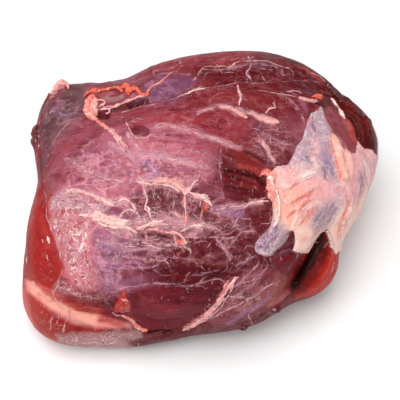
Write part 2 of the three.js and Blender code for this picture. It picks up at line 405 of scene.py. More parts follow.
# The fat cap: its outline in the photo, and the round end where it goes on out of sight.
capValues = {
    "thickness": 1.1,                    # mm
    "edge": (-0.6, 1.6),                 # mm inside the outline over which it rises
    "ragged": (3.0, 1.4),                # size and depth of the jags in that edge, in mm
    "swell": (9, 1.6),                   # size and height of its soft swellings, in mm
    "hiddenMiddle": (118, 6, 46.0),      # middle of the round end out of sight, in mm
    "hiddenStretch": (1.1, 0.95, 1.0),
    "hiddenReach": 38,
    "hiddenRagged": (12, 16),
    "outline": [
        (320, 106), (318, 110), (311, 113), (308, 120), (305, 130), (302, 139), (296, 146), (293, 155),
        (288, 164), (276, 166), (268, 175), (266, 183), (269, 188), (267, 197), (272, 202), (273, 220),
        (269, 230), (263, 235), (257, 243), (255, 250), (258, 254), (266, 256), (273, 253), (279, 248),
        (284, 243), (287, 236), (290, 231), (294, 231), (295, 241), (293, 251), (301, 253), (309, 253),
        (315, 249), (322, 238), (326, 229), (329, 230), (332, 244), (333, 252), (352, 252), (400, 200),
        (400, 160), (376, 155), (372, 150), (366, 148), (364, 149), (357, 141), (355, 154), (351, 153),
        (343, 148), (339, 139), (333, 134), (328, 123), (322, 108),
    ],
}


def photoPixels(where):
    # the photo's pixel of each place, in millimetres
    ray = where * mm - np.array(eye)
    depth = ray @ np.array(lookDown)
    return np.stack([middle + ray[:, 0] / depth * focal, middle - ray @ np.array(lookUp) / depth * focal], 1)


def insideBy(outline, spots):
    # how far spots lie inside an outline, and less than 0 outside it
    shape = np.array(outline, float)
    best, inside = np.full(len(spots), 1e9), np.zeros(len(spots), bool)
    for a, b in zip(shape, np.roll(shape, -1, 0)):
        run = b - a
        t = np.clip((spots - a) @ run / (run @ run), 0, 1)
        best = np.minimum(best, np.linalg.norm(spots - a - t[:, None] * run, axis=1))
        crosses = (a[1] > spots[:, 1]) != (b[1] > spots[:, 1])
        rise = np.where(run[1] == 0, 1e-9, run[1])
        inside ^= crosses & (spots[:, 0] < a[0] + (spots[:, 1] - a[1]) * run[0] / rise)
    return np.where(inside, best, -best)


towards = -(skinNormals @ np.array(lookDown))
seen = towards > 0.0
capDepth = np.full(len(skin), -20.0)
capDepth[seen] = insideBy(capValues["outline"], photoPixels(skin[seen])) * cameraValues["pixelSize"]
fromEnd = (skin - np.array(capValues["hiddenMiddle"])) * capValues["hiddenStretch"]
hiddenDepth = capValues["hiddenReach"] - np.linalg.norm(fromEnd, axis=1)
hiddenDepth += (clouds(skin, capValues["hiddenRagged"][0], 5) - 0.5) * capValues["hiddenRagged"][1]
blend = ease(0.0, 0.16, towards)
capDepth = np.where(seen, capDepth * blend + hiddenDepth * (1 - blend), hiddenDepth)
jags = (clouds(skin, capValues["ragged"][0], 8) - 0.5) * capValues["ragged"][1]
cap = ease(*capValues["edge"], capDepth + jags)
alongFibres = grain * [0.16, 1, 1]
height += cap * capValues["thickness"]
height += cap * (clouds(skin, capValues["swell"][0], 11) - 0.5) * capValues["swell"][1]

capZones = {
    "filmTop": (316, 120, 9, "haze"), "filmLeft": (300, 160, 10, "haze"),
    "filmMiddle": (324, 168, 8, "haze"), "creamTop": (306, 172, 7, "cream"),
    "pinkLeft": (284, 180, 9, "shell"), "orangeLeft": (292, 208, 8, "peach"),
    "shellMiddle": (310, 196, 9, "shell"), "rightUpper": (362, 168, 12, "blush"),
    "rightLower": (354, 220, 12, "cream"), "tongue": (266, 246, 8, "haze"),
    "lowerCream": (302, 242, 8, "cream"), "ridge": (338, 166, 6, "peach"), "grey": (322, 215, 7, "pearl"),
    "lowRidge": (340, 230, 8, "cream"), "middle": (318, 188, 7, "blush"),
}
capTint = zoneColours([(onPhoto(x, y), reach, name) for x, y, reach, name in capZones.values()], capDrift)

# Brush strokes over the cap: route, width in pixels, colour and strength.
capStrokes = {
    "blotch": ([(311, 136), (317, 146), (313, 160)], 7, "blush", 0.6),
    "blueLeft": ([(299, 158), (306, 160), (313, 164)], 8, "steel", 0.75),
    "blueRight": ([(322, 160), (328, 166), (333, 176)], 7, "steel", 0.6),
    "blueTop": ([(317, 112), (319, 124), (324, 136)], 5, "pearl", 0.7),
    "creamFold": ([(300, 178), (307, 172), (316, 172)], 6, "bone", 0.9),
    "creamTop": ([(312, 158), (315, 166), (313, 172)], 5, "cream", 0.7),
    "redOne": ([(289, 206), (299, 199), (312, 192)], 5, "orange", 0.6),
    "redTwo": ([(292, 215), (301, 208), (306, 200)], 6, "orange", 0.7),
    "redThree": ([(302, 226), (309, 215), (314, 208)], 5, "orange", 0.5),
    "redFour": ([(279, 184), (284, 194), (286, 208)], 3, "salmon", 0.6),
    "orangeEdge": ([(270, 174), (275, 186), (276, 200)], 7, "orange", 0.6),
    "pinkMiddle": ([(318, 190), (328, 194), (334, 204)], 6, "blush", 0.6),
    "greyFold": ([(312, 224), (322, 214), (333, 204)], 13, "pearl", 0.9),
    "rightGrey": ([(356, 176), (361, 190), (355, 206)], 6, "pearl", 0.8),
    "rightWhite": ([(362, 160), (368, 172), (366, 188)], 6, "bone", 0.7),
    "cordSide": ([(328, 136), (334, 152), (338, 172), (340, 184)], 4, "salmon", 0.8),
    "ridgeDrip": ([(349, 196), (345, 209), (340, 221), (337, 234)], 6, "salmon", 0.6),
    "dripRed": ([(342, 212), (340, 220)], 4, "orange", 0.8),
    "lowCream": ([(298, 246), (312, 246), (322, 234)], 8, "cream", 0.8),
    "lowRose": ([(300, 234), (306, 240), (318, 228)], 6, "shell", 0.6),
    "tongueEdge": ([(258, 250), (266, 254), (274, 251)], 4, "bone", 0.6),
    "tongueGrey": ([(272, 232), (266, 240), (262, 249)], 16, "lilac", 0.9),
    "filmGrey": ([(316, 116), (314, 130), (312, 144)], 10, "haze", 0.7),
    "filmFawn": ([(311, 146), (315, 152), (313, 158)], 6, "tan", 0.5),
    "filmRight": ([(323, 150), (330, 164), (334, 178)], 10, "steel", 0.5),
    "cordBody": ([(330, 136), (336, 150), (341, 166), (344, 181)], 9, "peach", 0.9),
    "rightBody": ([(362, 160), (366, 176), (364, 194)], 12, "bone", 0.5),
    "rightVein": ([(359, 172), (361, 184), (359, 196)], 6, "pearl", 0.8),
    "leftWhite": ([(290, 231), (294, 218), (296, 206)], 4, "bone", 0.6),
}
bareStrokes = ("garnet", "maroon", "brick", "blood")      # colours that take the film away


def paintStrokes(strokes, streaks, paint, edge, ends):
    # tints the skin softly along each route
    for route, wide, colour, strength in strokes.values():
        reach = halfWidth(wide)
        near, off, along = distanceTo(traced(route, onPhoto), reach * 2.2)
        share = 1 - ease(*edge, off / reach + (streaks[near] - 0.5) * 0.9)
        share *= fading(along, ends) * strength
        stain(paint, near, colour, share)
        if colour in bareStrokes:
            film[near] *= 1 - share


paintStrokes(capStrokes, clouds(skin, 3.0, 33), capTint, (0.4, 1.2), 0.15)
print("cap painted")

# Brush strokes over the meat: route, width in pixels, colour and strength. Streaks along the fibres
# break them up.
smears = {
    "hazeBand": ([
        (110, 142), (122, 152), (138, 157), (152, 155), (168, 157), (184, 161), (208, 167),
    ], 9, "rose", 0.6),
    "heelStreakOne": ([(346, 106), (356, 120), (363, 138)], 3, "rust", 0.5),
    "heelStreakTwo": ([(353, 103), (364, 115), (372, 134)], 3, "wine", 0.5),
    "heelStreakThree": ([(350, 112), (358, 126), (362, 144)], 3, "shadeBrown", 0.6),
    "heelRim": ([(344, 98), (358, 108), (370, 120), (376, 136)], 3, "brick", 0.5),
    "backLeftBrown": ([(88, 86), (104, 83), (122, 80)], 6, "clay", 0.7),
    "cornerBrown": ([(46, 132), (48, 150), (42, 170)], 8, "dusk", 0.6),
    "leftDark": ([(56, 150), (70, 138), (84, 128)], 6, "plum", 0.5),
    "bandDark": ([(96, 128), (112, 120), (130, 115)], 7, "clay", 0.5),
    "redFold": ([(60, 150), (76, 142), (92, 148), (106, 160)], 8, "wine", 0.5),
    "hazeBandPale": ([
        (114, 145), (128, 153), (144, 156), (160, 156), (178, 160), (198, 166),
    ], 7, "blush", 0.65),
    "hazeFork": ([(126, 132), (132, 142), (140, 152)], 5, "veil", 0.6),
    "redOverBand": ([(134, 144), (156, 148), (180, 150), (206, 156)], 7, "brick", 0.4),
    "redLeft": ([(66, 168), (84, 174), (104, 180), (122, 184)], 8, "wine", 0.45),
    "boxLeft": ([(131, 197), (140, 199), (149, 198)], 16, "claret", 0.65),
    "boxRight": ([(156, 197), (168, 199), (180, 200)], 17, "claret", 0.65),
    "redLowCentre": ([(100, 275), (124, 274), (150, 272)], 8, "wine", 0.4),
    "lilacPatch": ([(145, 160), (152, 169), (157, 180)], 16, "lilac", 0.75),
    "paleHaze": ([(200, 135), (215, 138), (234, 146), (244, 148)], 8, "blush", 0.4),
    "middleFilm": ([(70, 160), (86, 150), (104, 160), (118, 176)], 20, "mauve", 0.35),
    "leftFilm": ([(60, 185), (80, 196), (104, 190), (126, 186)], 18, "rose", 0.45),
    "lowFilm": ([(100, 240), (112, 262), (108, 286)], 17, "lilac", 0.6),
    "bandFilm": ([(120, 232), (148, 226), (176, 222), (204, 226)], 14, "blush", 0.4),
    "purpleStrip": ([(215, 208), (228, 213), (244, 216)], 9, "lilac", 0.7),
    "purpleFront": ([(226, 326), (242, 314), (258, 305), (271, 296)], 9, "lilac", 0.6),
    "grayUnderside": ([(60, 342), (90, 343), (124, 339), (140, 337)], 9, "ash", 0.8),
    "salmonBand": ([(26, 284), (36, 291), (54, 304), (66, 311), (86, 318), (120, 325)], 11, "salmon", 0.85),
    "purpleDiagonal": ([(286, 90), (296, 95), (303, 104), (308, 116)], 6, "mauve", 0.7),
    "redTop": ([(210, 95), (240, 96), (262, 100)], 10, "blood", 0.35),
    "redRound": ([(130, 125), (160, 118), (196, 116), (226, 128)], 12, "brick", 0.4),
    "darkUnderCap": ([(279, 150), (284, 156), (290, 158)], 11, "garnet", 0.8),
    "darkTuck": ([(104, 112), (120, 109), (140, 103), (150, 99)], 7, "maroon", 0.8),
    "darkLow": ([(184, 292), (206, 291), (222, 300)], 16, "maroon", 0.7),
    "lensMagenta": ([(74, 180), (82, 179), (88, 182)], 7, "plum", 0.6),
    "redEdge": ([(70, 88), (54, 100), (44, 116), (38, 134), (37, 160)], 3, "brick", 0.7),
    "bluishCorner": ([(50, 108), (58, 114), (70, 112)], 9, "steel", 0.22),
    "brownCorner": ([(50, 140), (60, 128), (70, 120)], 8, "clay", 0.5),
    "lowRed": ([(56, 296), (76, 306), (100, 310)], 8, "coral", 0.6),
    "lobePale": ([(279, 254), (290, 250), (299, 256)], 3, "mauve", 0.6),
    # the lobes by the fissures lighter on top: their red-brown tone with painted light on their tops
    "fissureLobes": ([(236, 166), (250, 168), (262, 176)], 6, "rust", 0.5),
    "wedgeRed": ([(342, 114), (350, 128), (354, 148)], 7, "rust", 0.8),
    "wedgeMauve": ([(328, 110), (332, 120), (338, 130)], 7, "plum", 0.7),
    "flapFilm": ([(104, 98), (114, 100), (124, 97)], 9, "ash", 0.8),
    "belowTongue": ([(96, 318), (112, 321), (124, 326)], 9, "coral", 0.8),
    "pinkStrip": ([(212, 318), (226, 306), (240, 294)], 10, "berry", 0.7),
    "lilacLow": ([(100, 282), (120, 284), (146, 276)], 12, "mauve", 0.6),
    "redLow": ([(172, 276), (186, 278), (200, 274)], 9, "ruby", 0.7),
    "middlePink": ([(126, 142), (150, 146), (178, 150), (204, 158)], 14, "rose", 0.5),
    "rimRed": ([(298, 66), (311, 73), (323, 83)], 8, "rust", 0.7),
    "rimRedTop": ([(270, 62), (286, 64), (300, 68)], 6, "brick", 0.5),
    "roundRed": ([(120, 128), (150, 122), (184, 120), (214, 126)], 9, "blood", 0.3),
    "roundRedLow": ([(150, 142), (176, 142), (204, 150)], 5, "blood", 0.35),
    "leftRedOne": ([(60, 172), (78, 178), (98, 186)], 4, "wine", 0.6),
    "leftRedTwo": ([(92, 160), (110, 168), (126, 176)], 4, "wine", 0.55),
    "centreRedOne": ([(160, 176), (182, 176), (204, 178)], 4, "wine", 0.55),
    "centreRedTwo": ([(136, 166), (142, 172), (144, 180)], 6, "wine", 0.5),
    "purpleRed": ([(100, 254), (120, 256), (142, 254)], 5, "claret", 0.5),
    "purplePale": ([(96, 262), (116, 262), (138, 262)], 4, "veil", 0.5),
    "lowWine": ([(138, 300), (160, 306), (182, 312)], 20, "wine", 0.5),
    "backRed": ([(192, 72), (214, 72), (240, 72)], 20, "garnet", 0.9),
    "rightRed": ([(222, 232), (236, 244), (250, 254)], 24, "garnet", 0.65),
    "frontRed": ([(226, 290), (242, 296), (258, 302)], 16, "maroon", 0.45),
    "darkLowTwo": ([(172, 272), (196, 276), (220, 272)], 13, "maroon", 0.5),
    "fibrousRed": ([(262, 132), (278, 138), (292, 144)], 14, "garnet", 0.45),
    # painted highlight down the lit right side of the bulb
    "bulbHighlight": ([(331, 252), (327, 266), (317, 279)], 7, "coral", 0.55),
    "bulbRim": ([(334, 262), (326, 279), (312, 290)], 4, "rust", 0.5),
    "salmonPale": ([(30, 286), (40, 293), (54, 303), (66, 310), (82, 317), (100, 321)], 13, "peach", 0.75),
    "flankLight": ([(40, 214), (45, 232), (47, 250)], 7, "rust", 0.5),
    "flankDark": ([(30, 232), (28, 252), (30, 272)], 8, "crimson", 0.5),
    "edgeDark": ([(40, 150), (41, 170), (43, 190)], 6, "maroon", 0.6),
    "tanPatch": ([(268, 306), (280, 300), (290, 290)], 9, "rose", 0.5),
}

# Lines pressed into the meat and darkened with painted shade: route, width in pixels, depth in mm, darkness
# of the shade.
grooves = {
    "mainSeam": ([
        (85, 127), (100, 118), (120, 113), (138, 106), (161, 101), (186, 93), (212, 86), (243, 81),
        (276, 81), (307, 79), (320, 83),
    ], 3.2, 0.9, 0.3),
    "tuckLeft": ([(96, 112), (101, 116), (110, 117)], 6, 1.6, 0.45),
    "tuckRight": ([(128, 106), (138, 103), (150, 99)], 6, 1.6, 0.5),
    "fissureTop": ([(243, 149), (253, 155), (262, 159), (267, 162)], 4, 1.6, 0.4),
    "fissureMain": ([(222, 171), (234, 172), (245, 175), (255, 176), (260, 181), (266, 187)], 4, 2.0, 0.5),
    "fissureLow": ([(222, 187), (232, 188), (243, 190), (258, 189)], 3.4, 1.2, 0.35),
    "fissureLast": ([(228, 197), (240, 199), (256, 199)], 2.6, 0.8, 0.25),
    "lowSlit": ([(206, 320), (212, 314), (220, 307)], 3.0, 1.4, 0.5),
    "pocket": ([(325, 230), (317.5, 243), (308, 258), (299, 272), (293, 284)], 9, 4.5, 0.75),
    # painted shadows under the strands bandA and lowB
    "shadowUnderBandA": ([(152, 190), (166, 190), (176, 194)], 2.6, 0.6, 0.3),
    "shadowUnderLowB": ([(140, 235), (156, 235), (168, 238), (178, 243)], 2.4, 0.6, 0.3),
    "rightSlit": ([(360, 189), (358, 198), (356, 214)], 3, 1.8, 0.8),
    "notch": ([(146, 333), (160, 331), (176, 331)], 4, 1.4, 0.7),
    "capShade": ([(303, 138), (296, 147), (292, 158), (285, 166), (270, 168)], 1.8, 0.8, 0.5),
    "heelFold": ([(329, 104), (345, 114), (356, 128), (359, 142)], 3.0, 1.4, 0.6),
    "capCrease": ([(345, 189), (349, 199), (346, 213)], 1.6, 0.7, 0.4),
    # painted shadow beside the steep strand
    "steepShadow": ([(262, 146), (266, 154), (271, 162)], 2.4, 0.8, 0.5),
}

# Dark windows, where the film is missing and bare muscle shows: middle, half widths and turn, all in pixels.
windows = {
    "oval": ((140.4, 130.8), (10, 6), 8), "lobe": ((285, 157), (9, 8), 20),
    "webLow": ((200, 215), (11, 7), 5), "underFlap": ((137, 103), (12, 4), -14),
    "flapHollow": ((103, 115), (8, 4), -8),
}

# Kinds of fat strand: colour and cover. The glint kind is no fat but a painted highlight, a near-white
# ribbon.
strandKinds = {
    "cream": ("cream", 0.9), "white": ("blush", 0.62), "pink": ("shell", 0.75), "rose": ("veil", 0.6),
    "orange": ("salmon", 0.8), "faint": ("veil", 0.42), "lilac": ("iris", 0.7), "peach": ("peach", 0.9),
    "mist": ("blush", 0.8), "line": ("bone", 0.7), "glint": ("bone", 1.0), "shade": ("slate", 0.7),
    "redLine": ("orange", 0.5),
}
# Fat strands: kind, width in mm, route.
strands = {
    "mistBand": ("mist", 5.0, [
        (108, 140), (120, 149), (134, 155), (150, 154), (168, 157), (186, 162), (212, 169),
    ]),
    "mistBandUp": ("mist", 3.0, [(126, 130), (134, 142), (142, 152)]),
    "mistLeft": ("mist", 5.0, [(64, 158), (84, 170), (104, 178), (124, 182)]),
    "mistLeftLow": ("mist", 4.5, [(62, 186), (82, 192), (104, 198), (122, 206)]),
    "mistCentre": ("mist", 5.5, [(136, 180), (156, 180), (178, 184), (200, 184)]),
    "mistWeb": ("mist", 6.0, [(122, 226), (146, 222), (170, 224), (196, 226), (218, 230)]),
    "mistLow": ("mist", 5.0, [(104, 244), (130, 246), (156, 246), (186, 244)]),
    "mistSalmon": ("mist", 4.0, [(150, 128), (168, 126), (188, 131), (206, 137), (236, 147)]),
    "mistRight": ("mist", 4.0, [(206, 212), (226, 208), (246, 205), (266, 202)]),
    "mistFront": ("faint", 3.0, [(228, 300), (244, 290), (258, 278), (268, 262)]),
    "mistTop": ("mist", 4.0, [(196, 112), (214, 107), (232, 108), (252, 114), (276, 120)]),
    "mistBack": ("faint", 2.0, [(128, 84), (146, 78), (168, 74), (192, 76)]),
    "mistBackRight": ("faint", 2.0, [(200, 70), (226, 70), (252, 64), (282, 68)]),
    "mistFibrous": ("faint", 3.0, [(252, 128), (266, 134), (280, 142), (292, 146)]),
    "mistFibrousUp": ("faint", 2.5, [(280, 92), (292, 102), (300, 112), (304, 122)]),
    "mistUnder": ("mist", 4.0, [(78, 342), (100, 338), (124, 338)]),
    "flapDown": ("pink", 2.2, [
        (89, 114), (97, 121), (104, 127), (113, 131), (118, 135), (122, 141), (128, 150),
    ]),
    "flapUp": ("orange", 1.2, [(147, 93), (152, 86), (160, 83), (167, 77), (173, 72)]),
    "flapInner": ("white", 1.0, [(95, 108), (108, 106), (118, 105), (129, 99)]),
    "bigEdge": ("faint", 1.0, [(45, 165), (50, 150), (57, 138), (65, 127), (73, 120), (83, 118)]),
    "leftFaint": ("faint", 1.0, [(85, 138), (103, 146), (118, 150), (128, 154)]),
    "seamLeft": ("white", 0.9, [(120, 113), (138, 107), (152, 105), (161, 102), (176, 98)]),
    "seamMiddle": ("cream", 1.1, [(176, 98), (186, 94), (194, 90.5), (205, 88), (212, 87)]),
    "seamRight": ("faint", 1.0, [
        (212, 87), (231, 84), (243, 82), (261, 83), (288, 81), (307, 80), (320, 83),
    ]),
    "backFirst": ("pink", 0.9, [(152, 71), (163, 70), (176, 67)]),
    "backSecond": ("pink", 1.0, [
        (191, 81), (196, 78), (201, 70.6), (207, 67), (223, 67), (229, 68), (234, 64), (246, 61), (265, 61),
        (276, 64.5), (292, 69),
    ]),
    "backCross": ("lilac", 0.9, [(247, 55), (249, 61), (250, 67), (246, 73), (249, 77), (252, 81)]),
    "backRim": ("orange", 1.3, [(309, 72), (318, 76), (323, 80), (324, 85)]),
    "backThird": ("faint", 0.8, [(216, 61), (224, 60), (232, 60), (240, 57)]),
    "drip": ("pink", 1.5, [(237.5, 87), (239, 92), (240.6, 98), (239, 105)]),
    "ovalRim": ("pink", 0.9, [(127, 121), (129, 130), (133, 135.5), (140, 138.5), (148, 138), (152, 134)]),
    "fatAThin": ("pink", 1.2, [(196, 116), (206, 110), (218, 106)]),
    "barb": ("pink", 1.2, [(267, 112), (270, 108), (275, 108), (272, 103)]),
    "fatCLeft": ("pink", 1.1, [(257, 90), (269, 92), (276, 93), (286, 95), (296, 97)]),
    "crossDown": ("faint", 0.8, [(209, 104), (214, 96), (226, 92)]),
    "steepTwo": ("pink", 2.6, [(262, 140), (267, 149), (271, 158), (276, 164)]),
    "steep": ("pink", 2.0, [(263, 142), (266, 146), (269, 151), (271, 157), (275, 160)]),
    "lineV": ("faint", 1.1, [(221, 147), (220, 158), (220, 169), (221, 188), (223, 200)]),
    "hazeLine": ("rose", 1.4, [
        (128, 153), (138, 157), (149, 154), (166, 156), (184, 161), (194, 165), (208, 167),
    ]),
    "hazeLeft": ("rose", 1.3, [(110, 140), (118, 150), (128, 156), (136, 166)]),
    "bandA": ("cream", 1.9, [(136, 181), (144, 183), (155, 185), (166, 185), (175, 188), (182, 193)]),
    "bandB": ("cream", 1.5, [(138, 176), (143, 181), (148, 188)]),
    "vOne": ("cream", 1.2, [(144, 185), (145, 192), (147, 200), (146, 205), (149, 210), (152, 219)]),
    "vTwo": ("orange", 2.1, [(184, 189), (185, 196), (185, 207), (186, 216), (186, 228)]),
    "vThree": ("cream", 1.9, [(186, 192), (191, 187), (195, 181), (199, 180)]),
    "vFour": ("cream", 2.3, [(190, 193), (196, 196), (202, 198), (208, 202), (212, 206)]),
    "vFive": ("faint", 0.9, [(172, 190), (174, 200), (173, 210), (176, 219)]),
    "knotUp": ("cream", 1.8, [(199, 197), (204, 196), (210, 200)]),
    "frayA": ("pink", 1.7, [(244, 208), (250, 204), (258, 202), (267, 201)]),
    "frayB": ("rose", 1.1, [(232, 212), (240, 209), (248, 206), (254, 207)]),
    "lowA": ("cream", 1.7, [(138, 230), (145, 227), (152, 223), (160, 222), (166, 221)]),
    "lowB": ("orange", 2.2, [
        (140, 231), (152, 230), (165, 232), (170, 232), (177, 234), (182, 238), (184, 243),
    ]),
    "lowC": ("cream", 1.5, [(179, 232), (186, 229), (194, 226), (205, 224)]),
    "lowD": ("rose", 1.1, [(184, 237), (194, 238), (201, 237), (212, 238)]),
    "lowE": ("white", 1.2, [(180, 243), (185, 247), (190, 252), (189, 258)]),
    "lowF": ("faint", 1.0, [(205, 224), (218, 222), (232, 224), (243, 226)]),
    "curveLeft": ("cream", 1.2, [(117, 202), (123, 199), (129, 202), (135, 207), (138, 214), (141, 220)]),
    "curveTop": ("cream", 1.6, [(66, 193), (75, 191), (92, 196), (103, 199), (113, 205), (119, 206)]),
    "creamLow": ("cream", 2.0, [(78, 215), (92, 215), (106, 217), (119, 219)]),
    "creamLower": ("cream", 1.6, [(96, 222), (106, 225), (116, 227), (126, 228), (138, 232)]),
    "loopA": ("cream", 1.2, [(119, 218), (124, 212), (130, 210), (136, 213)]),
    "netA": ("white", 0.9, [(104, 228), (118, 236), (132, 240), (148, 240)]),
    "netB": ("white", 0.9, [(148, 240), (162, 244), (176, 246), (190, 246)]),
    "netC": ("white", 1.0, [(112, 248), (116, 238), (122, 230)]),
    "netD": ("rose", 1.0, [(124, 252), (136, 248), (148, 249), (160, 252)]),
    "netE": ("faint", 0.9, [(132, 214), (128, 224), (130, 234)]),
    "netF": ("white", 0.8, [(152, 219), (156, 212), (154, 204)]),
    "netG": ("white", 0.8, [(192, 212), (198, 219), (204, 224), (214, 230)]),
    "netH": ("rose", 0.9, [(205, 238), (216, 236), (226, 238), (236, 236)]),
    "vRightA": ("rose", 2.2, [(214, 236), (220, 243), (227, 254), (234, 266)]),
    "vRightB": ("rose", 2.4, [(234, 266), (239, 263), (248, 259), (256, 254)]),
    "vRightC": ("faint", 1.0, [(214, 237), (228, 233), (242, 228), (252, 224)]),
    "lineOne": ("rose", 0.9, [(96, 268), (115, 268), (138, 268), (149, 268), (160, 265)]),
    "lineTwo": ("rose", 1.2, [
        (110, 293), (124, 288), (138, 285), (152, 283), (166, 284), (177, 284), (184, 286), (194, 286),
        (208, 281), (220, 279),
    ]),
    "lineThree": ("faint", 0.9, [(186, 277), (198, 275), (208, 272), (220, 269)]),
    "lineFour": ("faint", 0.8, [(120, 256), (146, 257), (170, 257), (196, 258)]),
    "lineFive": ("faint", 0.7, [(104, 301), (112, 296), (120, 290)]),
    "diagonal": ("orange", 2.6, [
        (182, 330), (191, 323), (201, 316), (210, 310), (218, 301), (223, 292), (228, 283), (233, 277),
    ]),
    "diagonalTwo": ("pink", 1.3, [
        (199, 322), (207, 320), (225, 310), (239, 304), (245, 299), (256, 294), (267, 286), (277, 282),
        (281, 278),
    ]),
    "frontA": ("rose", 1.2, [(233, 290), (242, 281), (252, 270), (260, 262)]),
    "frontB": ("white", 1.1, [(239, 283), (249, 282), (258, 278), (260, 275)]),
    "frontC": ("pink", 1.4, [(228, 296), (238, 296), (247, 299), (243, 305)]),
    "frontD": ("faint", 1.0, [(214, 326), (230, 324), (246, 318), (262, 309)]),
    "dripLow": ("orange", 1.8, [(124, 316), (132, 321), (138, 328), (141, 331)]),
    "legA": ("white", 1.1, [(63, 269), (58, 284), (53, 293), (57, 301), (65, 312)]),
    "legB": ("white", 1.0, [(55, 308), (53, 317), (50, 331)]),
    "legC": ("orange", 1.2, [(70, 307), (68, 319), (64, 327), (63, 333)]),
    "legD": ("white", 0.9, [(117, 254), (113, 263), (110, 270)]),
    "legE": ("faint", 0.9, [(92, 262), (95, 272), (99, 284), (103, 295)]),
    "legF": ("faint", 0.8, [(103, 295), (109, 306), (118, 312)]),
    "flankLine": ("white", 1.0, [
        (43, 189), (47, 199), (47, 210), (50, 227), (56, 238), (60, 252), (61, 260),
    ]),
    "underA": ("cream", 1.2, [(80, 344), (94, 341), (108, 343), (118, 339)]),
    "underB": ("white", 1.0, [(100, 334), (112, 338), (126, 334), (140, 336)]),
    "tearLeft": ("rose", 1.0, [(96, 176), (108, 172), (118, 166), (124, 158)]),
    "tearLow": ("rose", 1.0, [(100, 186), (112, 188), (124, 184), (136, 180)]),
    "foldShadeOne": ("shade", 1.1, [(334, 201), (326, 210), (318, 221)]),
    "foldShadeTwo": ("shade", 1.1, [(336, 207), (330, 215), (323, 226)]),
    "foldShadeThree": ("shade", 0.9, [(327, 205), (320, 213), (312, 222)]),
    "foldPaleOne": ("line", 0.8, [(331, 202), (323, 211), (315, 222)]),
    "foldPaleTwo": ("line", 0.8, [(335, 204), (328, 213), (321, 224)]),
    "foldPaleThree": ("line", 0.9, [(337, 212), (332, 219), (327, 229)]),
    "tongueLineOne": ("line", 0.6, [(276, 208), (274, 222), (268, 238), (262, 249)]),
    "tongueLineTwo": ("line", 0.6, [(284, 224), (277, 238), (269, 251)]),
    "tongueShadeOne": ("shade", 0.9, [(279, 220), (272, 236), (264, 250)]),
    "tongueShadeTwo": ("shade", 0.8, [(287, 230), (279, 243), (271, 253)]),
    "tongueShadeThree": ("shade", 0.9, [(271, 228), (264, 238), (259, 248)]),
    "tongueRim": ("line", 0.6, [
        (290, 231), (284, 242), (277, 250), (268, 255), (259, 253), (256, 247), (259, 239), (267, 232),
        (272, 223),
    ]),
    "leftLineOne": ("line", 0.9, [(274, 185), (277, 198), (276, 210), (273, 223)]),
    "leftLineTwo": ("line", 0.7, [(279, 183), (282, 196), (281, 210), (277, 224)]),
    "capRedOne": ("redLine", 1.3, [(286, 191), (292, 186), (299, 183)]),
    "capRedTwo": ("redLine", 1.2, [(301, 207), (306, 203), (311, 199)]),
    "capRedThree": ("redLine", 1.4, [(285, 219), (290, 214), (296, 210)]),
    "capRedFour": ("redLine", 0.9, [(298, 226), (304, 218), (309, 209)]),
    "capRedFive": ("redLine", 0.8, [(288, 206), (296, 200), (306, 195), (314, 189)]),
    "capArcOne": ("line", 0.8, [(283, 193), (292, 185), (301, 181), (310, 179)]),
    "capArcTwo": ("line", 0.7, [(287, 202), (298, 198), (310, 190), (321, 186)]),
    "capArcThree": ("line", 0.7, [(291, 228), (297, 216), (306, 205), (316, 197)]),
    "foldRim": ("line", 1.3, [(298, 177), (303, 171), (311, 169), (315, 173), (309, 177), (302, 179)]),
    "filmLineOne": ("line", 0.6, [(317, 110), (313, 122), (311, 136), (314, 149)]),
    "filmLineTwo": ("line", 0.6, [(320, 111), (325, 126), (328, 140), (331, 154)]),
    "filmLineThree": ("line", 0.7, [(308, 136), (311, 146), (307, 155), (311, 163)]),
    "filmSpotOne": ("shade", 2.4, [(304, 157), (307, 160), (309, 164)]),
    "filmSpotTwo": ("shade", 2.2, [(321, 166), (324, 172), (323, 180)]),
    "filmSpotThree": ("shade", 1.6, [(314, 118), (312, 126), (315, 133)]),
    "rightLineOne": ("line", 0.8, [(357, 156), (362, 168), (363, 184)]),
    "rightLineTwo": ("line", 0.8, [(366, 152), (372, 161), (373, 174)]),
    "rightShade": ("shade", 1.2, [(356, 168), (360, 180), (358, 192)]),
    "cordRed": ("redLine", 1.3, [(329, 137), (333, 150), (336, 164), (340, 180)]),
    # painted highlight along the crest of the cord
    "cordHighlight": ("line", 1.3, [(334, 138), (340, 152), (344, 166), (347, 180)]),
    "ridgeRed": ("redLine", 1.2, [(344, 190), (346, 200), (343, 212), (338, 225), (335, 240)]),
    "ridgePale": ("line", 1.2, [(348, 191), (351, 201), (348, 213), (343, 226), (339, 241)]),
    "lowBorder": ("line", 0.9, [(296, 249), (304, 251), (311, 247), (316, 241), (321, 233)]),
    "pocketBorder": ("line", 1.3, [(328, 231), (330, 240), (333, 250)]),
    "capEdgePink": ("pink", 1.0, [(272, 190), (274, 202), (274, 214), (272, 226)]),
    "ovalLineOne": ("white", 0.7, [(124, 121), (131, 118.5), (138, 119), (146, 121)]),
    "ovalLineTwo": ("white", 0.7, [(125, 124.5), (132, 121.5), (140, 121.5)]),
    # painted highlights: near-white glints of wet shine on the flank, the bulb and the heel
    "glintOne": ("glint", 1.5, [(47.5, 236), (48.5, 240), (49.5, 244)]),
    "glintTwo": ("glint", 0.7, [(42, 239), (42.7, 241), (43, 243)]),
    "glintThree": ("glint", 1.2, [(27, 256), (26.6, 260), (26.4, 264)]),
    "glintSix": ("glint", 0.5, [(45, 252), (47, 256), (48, 261)]),
    "glintSeven": ("glint", 0.6, [(31, 282), (35, 283.5), (37, 286)]),
    "glintBulb": ("glint", 0.7, [(331, 261), (330, 266), (327, 271)]),
    "glintHeel": ("glint", 0.5, [(362, 112), (367, 118), (371, 126)]),
